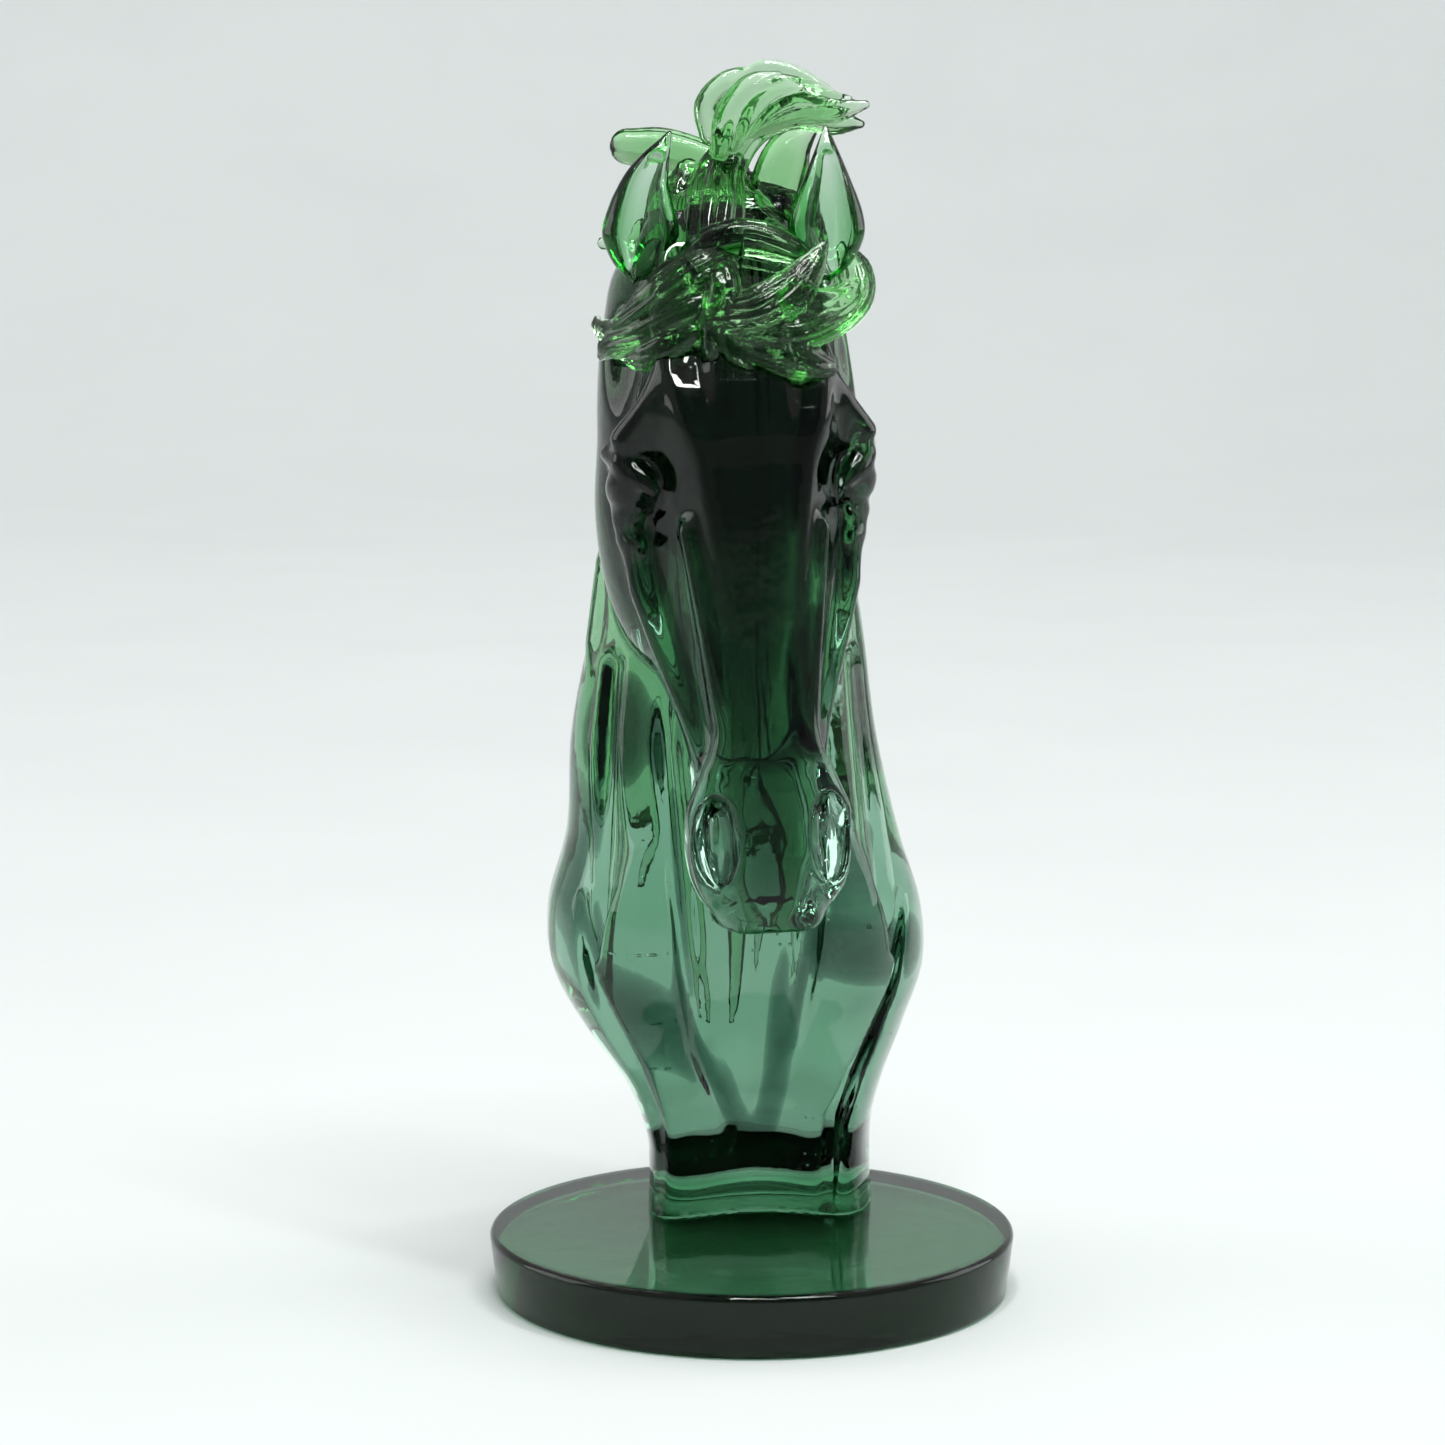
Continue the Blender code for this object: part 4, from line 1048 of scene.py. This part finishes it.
FORELOCK_RIGHT = (
    Strand(((-6.4, -23.2, -13, 2.2), (-2.3, -24.5, -12.5, 4), (3.3, -26, -11.3, 4.6), (8.9, -24.5, -7.8, 4),
        (13.2, -21.9, -3.1, 2.6), (15.6, -20.1, 0.7, 0.8)), flat=0.6, combs=14, depth=0.16),
    Strand(((-4.6, -17.3, -2.6, 3.2), (-3.1, -21.4, -6.6, 3.6), (-4, -23.4, -10.7, 3),
        (-5.1, -23.3, -13.8, 1.8)), combs=8, depth=0.16),
    Strand(((-4.9, -23.3, -14.3, 2), (1.6, -25.9, -15.3, 2.6), (10.6, -25.7, -15.3, 3),
        (17.6, -20.3, -12.7, 3.2), (22, -15.7, -8.9, 3.1), (22.6, -11.8, -4.3, 2.7),
        (20.4, -10.6, -0.6, 1.4)), combs=10, depth=0.17),
    Strand(((9.1, -22.5, -9.3, 2.6), (14.8, -21, -10.1, 2.8), (20.3, -17.5, -8.8, 2.6),
        (23.7, -13.7, -6.4, 1.4)), combs=8),
    Strand(((10.8, -23.7, -12.5, 2.4), (16.7, -20.2, -11.6, 2.6), (22, -15.6, -8.9, 1.6)), combs=8),
    Strand(((-1.1, -24.6, -17.3, 2), (4.8, -26.1, -18.2, 3.4), (10.7, -25.7, -20, 3.8),
        (15.5, -23.1, -21.3, 2.4), (17.8, -20.3, -20.3, 0.8)), flat=0.6, combs=10, depth=0.16),
    Strand(((-2.4, -25, -15.5, 1.8), (-1.2, -26.1, -19, 1.8), (1.5, -26.4, -21.4, 0.6)), combs=5),
    Strand(((-5.2, -24.3, -15.5, 1.8), (-5.3, -25.3, -18.5, 1.6), (-4.6, -25.3, -21.1, 0.6)), combs=5),
)
CREST_CURL = (
    Strand(((-7.9, -13, -1.6, 2.4), (-3.8, -14.4, 0.8, 3.2), (1.7, -14.8, 1.7, 3.4), (8, -15.4, 0.2, 3),
        (14.5, -15, -2.7, 1.6)), combs=7, depth=0.15),
    Strand(((-4.3, -13.3, -3.1, 5.2), (-2.8, -4.4, 5.7, 5.6), (-0.5, 4.4, 14.3, 4.2), (5, 7, 21.3, 3.2),
        (13, 6.3, 24, 2.6), (20.3, 4.6, 22.9, 2.6), (25, 3.1, 22.3, 0.8)), flat=0.75, combs=9, depth=0.15),
    Strand(((-5.9, -6.1, 2.1, 2.6), (-4.6, 1.8, 11.1, 2.8), (-1, 3.5, 19.4, 0.8)), combs=6, depth=0.15),
    Strand(((-3.1, 4.7, 20.6, 2), (-3.6, 4.8, 25.8, 2.3), (0.2, 5.5, 30, 2.2), (5.6, 5.9, 31.8, 1.4)),
        combs=5, depth=0.2, blend=0.3),
    Strand(((-1.4, 1.4, 17.9, 2), (0.2, 1.6, 24.2, 2.5), (4.4, 1.6, 29.3, 2.3), (9, 2.4, 30.8, 1.4)),
        combs=5, depth=0.2, blend=0.3),
    Strand(((0.6, 3.4, 18.9, 2.2), (3.6, 1.4, 25, 2.5), (8.6, 1, 29, 2.5), (14.5, 1.8, 29.2, 1.6)), combs=5,
        depth=0.2, blend=0.3),
    Strand(((2.6, 5.2, 20.6, 2.2), (7, 2.2, 25.2, 2.6), (12.6, 1.4, 27.4, 2.6), (18.2, 2, 26.8, 2),
        (22.6, 2.4, 26.9, 0.8)), combs=5, depth=0.2, blend=0.3),
    Strand(((1.7, 6.2, 29, 1.6), (6.2, 6, 32.2, 1.9), (11.4, 5.1, 31.6, 2), (16.4, 4.3, 29.2, 1.8),
        (20.6, 3.7, 27, 1)), combs=4, depth=0.2, blend=0.3),
    Strand(((4.2, 6.1, 21, 2.2), (9, 4.3, 23.7, 2.6), (14.5, 2.8, 24.8, 2.6), (20.4, 1.6, 24.9, 2.2),
        (25.7, 1.1, 25.9, 0.8)), combs=6, depth=0.2, blend=0.3),
)
MANE = (
    Strand(((8.2, 0.7, 1, 4), (9.2, 5.6, 9.3, 5.2), (12.1, 8.3, 17.2, 4.4), (16.2, 8, 21.7, 1.6)), flat=0.6,
        combs=8, depth=0.06),
    Strand(((-7.1, 4, 1.9, 4.2), (-7.9, 7.1, 8.8, 4.2), (-6.6, 10, 13.6, 2.6)), flat=0.6, combs=8,
        depth=0.1),
    Strand(((-9.5, 14, 0, 3), (-17, 16.5, 1, 2.4), (-22.5, 17, 0, 1.2)), combs=7),
    Strand(((4, 6, 3, 5), (2, 15, 9, 6), (1, 22.5, 3.5, 6.2), (0.5, 27, -14, 6), (1, 32.5, -32, 5.6),
        (1.5, 38.5, -56, 5.2), (1.5, 41, -80, 4.8), (2, 42.5, -98, 4.4), (3, 44, -118, 4.2),
        (1, 43.8, -136, 3.4), (-3, 43, -150, 1)), combs=14, outward=(0, 1, 0.2)),
    Strand(((-2, 7, 3, 5), (-4.5, 15.5, 7, 5.8), (-7, 22.5, 0, 6), (-7.5, 26.5, -16, 5.8),
        (-7.5, 32.5, -36, 5.2), (-7, 38.5, -58, 4.6), (-6.5, 41.5, -80, 4.2), (-7, 42.5, -98, 3.8),
        (-8, 44, -116, 3.4), (-9.5, 43.2, -132, 1)), combs=13, outward=(-0.4, 1, 0.2)),
    Strand(((-5, 8, 1, 4.8), (-11, 15, 0, 5), (-14.5, 19.5, -7, 4.8), (-15.5, 24, -20, 4.6),
        (-16, 30.5, -40, 4.4), (-15, 36.5, -62, 4), (-15, 39.5, -84, 3.8), (-16.5, 41.5, -104, 3.6),
        (-19, 41, -120, 1)), combs=12, outward=(-1, 0.7, 0.2)),
    Strand(((7, 7, 2, 5), (9, 15.5, 5, 5.8), (9.5, 22, -3, 6), (9.5, 27, -18, 5.6), (10, 33, -38, 5),
        (9.5, 38.5, -60, 4.6), (9, 41, -82, 4.2), (10.5, 43, -104, 4), (12, 43.5, -124, 3.2),
        (10, 42.8, -140, 1)), combs=13, outward=(0.4, 1, 0.2)),
    Strand(((10, 8, 0, 4.8), (16, 14.5, 0, 5.2), (19.5, 18.5, -8, 5), (20, 24, -22, 4.6),
        (18.5, 30.5, -42, 4.2), (17, 36.5, -62, 4), (17, 39.5, -84, 3.8), (20, 41.5, -106, 3.2),
        (23, 40, -122, 1)), combs=12, outward=(1, 0.7, 0.2)),
)
SIDE_LOCK = (
    Strand(((3.2, 7.5, 9, 3), (-2.2, 12, 14.5, 3.8), (-10.7, 14, 17.4, 4.2), (-17.8, 14, 18.2, 3.4)),
        flat=0.8, combs=8, depth=0.08),
)


@dataclass
class Bubbles:
    """Small round bubbles in the chest and the plinth: one ball of few faces, repeated at seeded places."""

    in_chest: int = 60
    in_plinth: int = 24
    low: Row = (-30, -8, 20)
    high: Row = (30, 40, 110)
    depth: float = 2.5  # how far under the surface they start
    sizes: Row = (0.15, 0.32)  # least and greatest radius
    sides: int = 10
    rings: int = 5
    seed: int = 11

    def places(self, bust: Bust, plinth: Plinth, rng: np.random.Generator) -> np.ndarray:
        """Their middles: evenly spread in the chest's box, kept where that is resin, then in the plinth.

        Args:
            bust: the casting whose chest they are in.
            plinth: the plinth.
            rng: the random draws.

        Returns:
            One point a row.
        """
        spots = rng.uniform(self.low, self.high, (self.in_chest * 6, 3))
        spots = spots[bust.solid(spots) < -self.depth][: self.in_chest]
        angle = rng.uniform(0, 2 * math.pi, self.in_plinth)
        out = plinth.radius * 0.94 * np.sqrt(rng.uniform(0, 1, self.in_plinth))
        height = rng.uniform(2, plinth.height - 2.5, self.in_plinth)
        return np.concatenate([spots, np.stack([out * np.cos(angle), out * np.sin(angle), height], 1)])

    def build(self, bust: Bust, plinth: Plinth) -> bpy.types.Object:
        """Repeats the ball: its point at tilt t and turn a is (sin t cos a, sin t sin a, cos t) radii out."""
        rng = np.random.default_rng(self.seed)
        spots = self.places(bust, plinth, rng)
        radii = rng.uniform(*self.sizes, len(spots))
        turn = np.linspace(0, 2 * math.pi, self.sides, endpoint=False)
        tilt = np.linspace(0, math.pi, self.rings + 2)[1:-1]
        flat = np.outer(np.sin(tilt), np.cos(turn)), np.outer(np.sin(tilt), np.sin(turn))
        ball = np.stack([*flat, np.outer(np.cos(tilt), np.ones(self.sides))], -1).reshape(-1, 3)
        ball = np.concatenate([ball, [(0, 0, 1), (0, 0, -1)]])
        points = (spots[:, None] + radii[:, None, None] * ball).reshape(-1, 3)
        step = (np.arange(len(spots)) * len(ball))[:, None, None]
        quads, caps = ring_faces(self.rings, self.sides), cap_faces(self.rings, self.sides)
        mesh = bpy.data.meshes.new("bubbles")
        faces = (quads + step).reshape(-1, 4).tolist() + (caps + step).reshape(-1, 3).tolist()
        mesh.from_pydata(points * MM, [], faces)
        return dressed(shown(mesh), TrappedAir())


@dataclass
class Studio:
    """Pale floor, soft lights and the camera, in metres."""

    # Place, what it faces, width and depth, power: four strips in a square over the head, two side panels,
    # and one lamp on the paper behind
    lamps: tuple[tuple[Row, Row, Row, float], ...] = (
        ((-0.1, -0.33, 1.05), (0, 0, 0.17), (0.05, 0.44), 1.9),
        ((0.3, -0.33, 1.05), (0, 0, 0.17), (0.05, 0.44), 1.9),
        ((0.1, -0.53, 1.05), (0, 0, 0.17), (0.44, 0.05), 1.9),
        ((0.1, -0.13, 1.05), (0, 0, 0.17), (0.44, 0.05), 1.9),
        ((1.3, 0.3, 0.6), (0, 0, 0.12), (0.9, 0.9), 4.4),
        ((-1.3, 0.3, 0.6), (0, 0, 0.12), (0.9, 0.9), 4.0),
        ((0.0, 1.1, 1.7), (0, 2.7, 0.1), (1.6, 0.8), 13.0),
    )
    sky: str = "#E6E6E6"
    sky_power: float = 0.58
    lens: float = 100.4
    aim: Row = (5.0, 8.03)  # degrees that the camera stands to one side, and that it looks down
    stand: Row = (-0.00558, -0.750, 0.2148)  # its place before it goes to the side
    sides: int = 128
    card: tuple[Row, ...] = ((-0.8, -1.3, 0.34), (0.8, -1.3, 0.34), (0.8, -1.1, 1.7), (-0.8, -1.1, 1.7))

    def cove(self) -> bpy.types.Object:
        """A round sheet of paper: flat under the plinth, then rising in a curve that starts 1.6 m away."""
        angle = np.linspace(0, 2 * math.pi, self.sides, endpoint=False)
        bend = np.radians(np.linspace(0, 80, 12))
        radii = np.concatenate([[0.15, 0.6, 1.2], 1.6 + 1.2 * np.sin(bend)])
        # a twentieth of a millimetre under the plinth, so that the two don't share a surface
        heights = np.concatenate([[0, 0, 0], 1.2 * (1 - np.cos(bend))]) - 0.00005
        x, y = np.outer(radii, np.cos(angle)), np.outer(radii, np.sin(angle))
        points = np.stack([x, y, np.repeat(heights[:, None], self.sides, 1)], -1).reshape(-1, 3)
        mesh = bpy.data.meshes.new("paper_cove")
        quads = ring_faces(len(radii), self.sides).tolist()
        mesh.from_pydata(points, [], [*quads, list(range(self.sides))])
        return self.staged(mesh, MattSheet())

    def flag(self) -> bpy.types.Object:
        """A grey card above and behind the camera, which keeps the face from reflecting white."""
        mesh = bpy.data.meshes.new("grey_flag")
        mesh.from_pydata(self.card, [], [(0, 1, 2, 3)])
        return self.staged(mesh, MattSheet("grey_felt_card", "#8C9A97"))

    def staged(self, mesh: bpy.types.Mesh, finish: MattSheet) -> bpy.types.Object:
        """Hangs a mesh in the studio, as no part of the horse."""
        mesh.materials.append(finish.material())
        prop = shown(mesh)
        prop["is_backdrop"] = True
        return prop

    def light(self) -> None:
        """Hangs the soft lamps and lights the tent round them evenly."""
        for number, (place, target, size, power) in enumerate(self.lamps):
            lamp = bpy.data.lights.new(f"softbox_{number}", "AREA")
            lamp.shape, lamp.size, lamp.size_y, lamp.energy = "RECTANGLE", size[0], size[1], power
            holder = bpy.data.objects.new(f"softbox_{number}", lamp)
            holder.location = place
            holder.rotation_euler = (Vector(target) - Vector(place)).to_track_quat("-Z", "Y").to_euler()
            bpy.context.scene.collection.objects.link(holder)
        world = bpy.data.worlds.new("light_tent")
        world.use_nodes = True
        back = world.node_tree.nodes["Background"]
        back.inputs["Color"].default_value = linear(self.sky)
        back.inputs["Strength"].default_value = self.sky_power
        bpy.context.scene.world = world
        view = bpy.context.scene.view_settings
        view.view_transform = "Standard"
        view.look = "Medium High Contrast"

    def camera(self) -> bpy.types.Object:
        """A long lens in front of the brow, a little to one side and looking down."""
        lens = bpy.data.cameras.new("camera")
        lens.lens = self.lens
        camera = bpy.data.objects.new("camera", lens)
        camera.matrix_world = (
            Matrix.Rotation(math.radians(-self.aim[0]), 4, "Z")
            @ Matrix.Translation(self.stand)
            @ Matrix.Rotation(math.radians(90 - self.aim[1]), 4, "X")
        )
        bpy.context.scene.collection.objects.link(camera)
        bpy.context.scene.camera = camera
        return camera


def report(piece: bpy.types.Object) -> None:
    """Logs a piece's name and face count."""
    LOG.info("%s: %d faces", piece.name, len(piece.data.polygons))


def main() -> None:
    """Builds every piece in order, then the studio."""
    logging.basicConfig(level=logging.INFO, format="%(message)s")
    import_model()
    cad_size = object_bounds()
    plinth, bust = Plinth(), Bust()
    report(plinth.build())
    report(bust.build())
    for gathered in bust.pigment():
        report(gathered)
    locks = (
        ear(Side.LEFT),
        ear(Side.RIGHT),
        Lock("forelock_swept_left", "forelock_left", FORELOCK_LEFT),
        Lock("forelock_swept_right", "forelock_right", FORELOCK_RIGHT),
        Lock("crest_and_top_curl", "crest_curl", CREST_CURL, core=(0, 1, 2)),
        Lock("lock_beside_ear", "side_lock", SIDE_LOCK),
        Lock("mane_down_neck", "mane", MANE, step=0.65),
    )
    for lock in locks:
        report(lock.build(bust))
    report(Bubbles().build(bust, plinth))
    studio = Studio()
    studio.cove()
    studio.flag()
    studio.light()
    studio.camera()
    sizes = {
        name: [list(map(float, corner)) for corner in box]
        for name, box in (("cad", cad_size), ("visual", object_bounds()))
    }


if __name__ == "__main__":
    main()
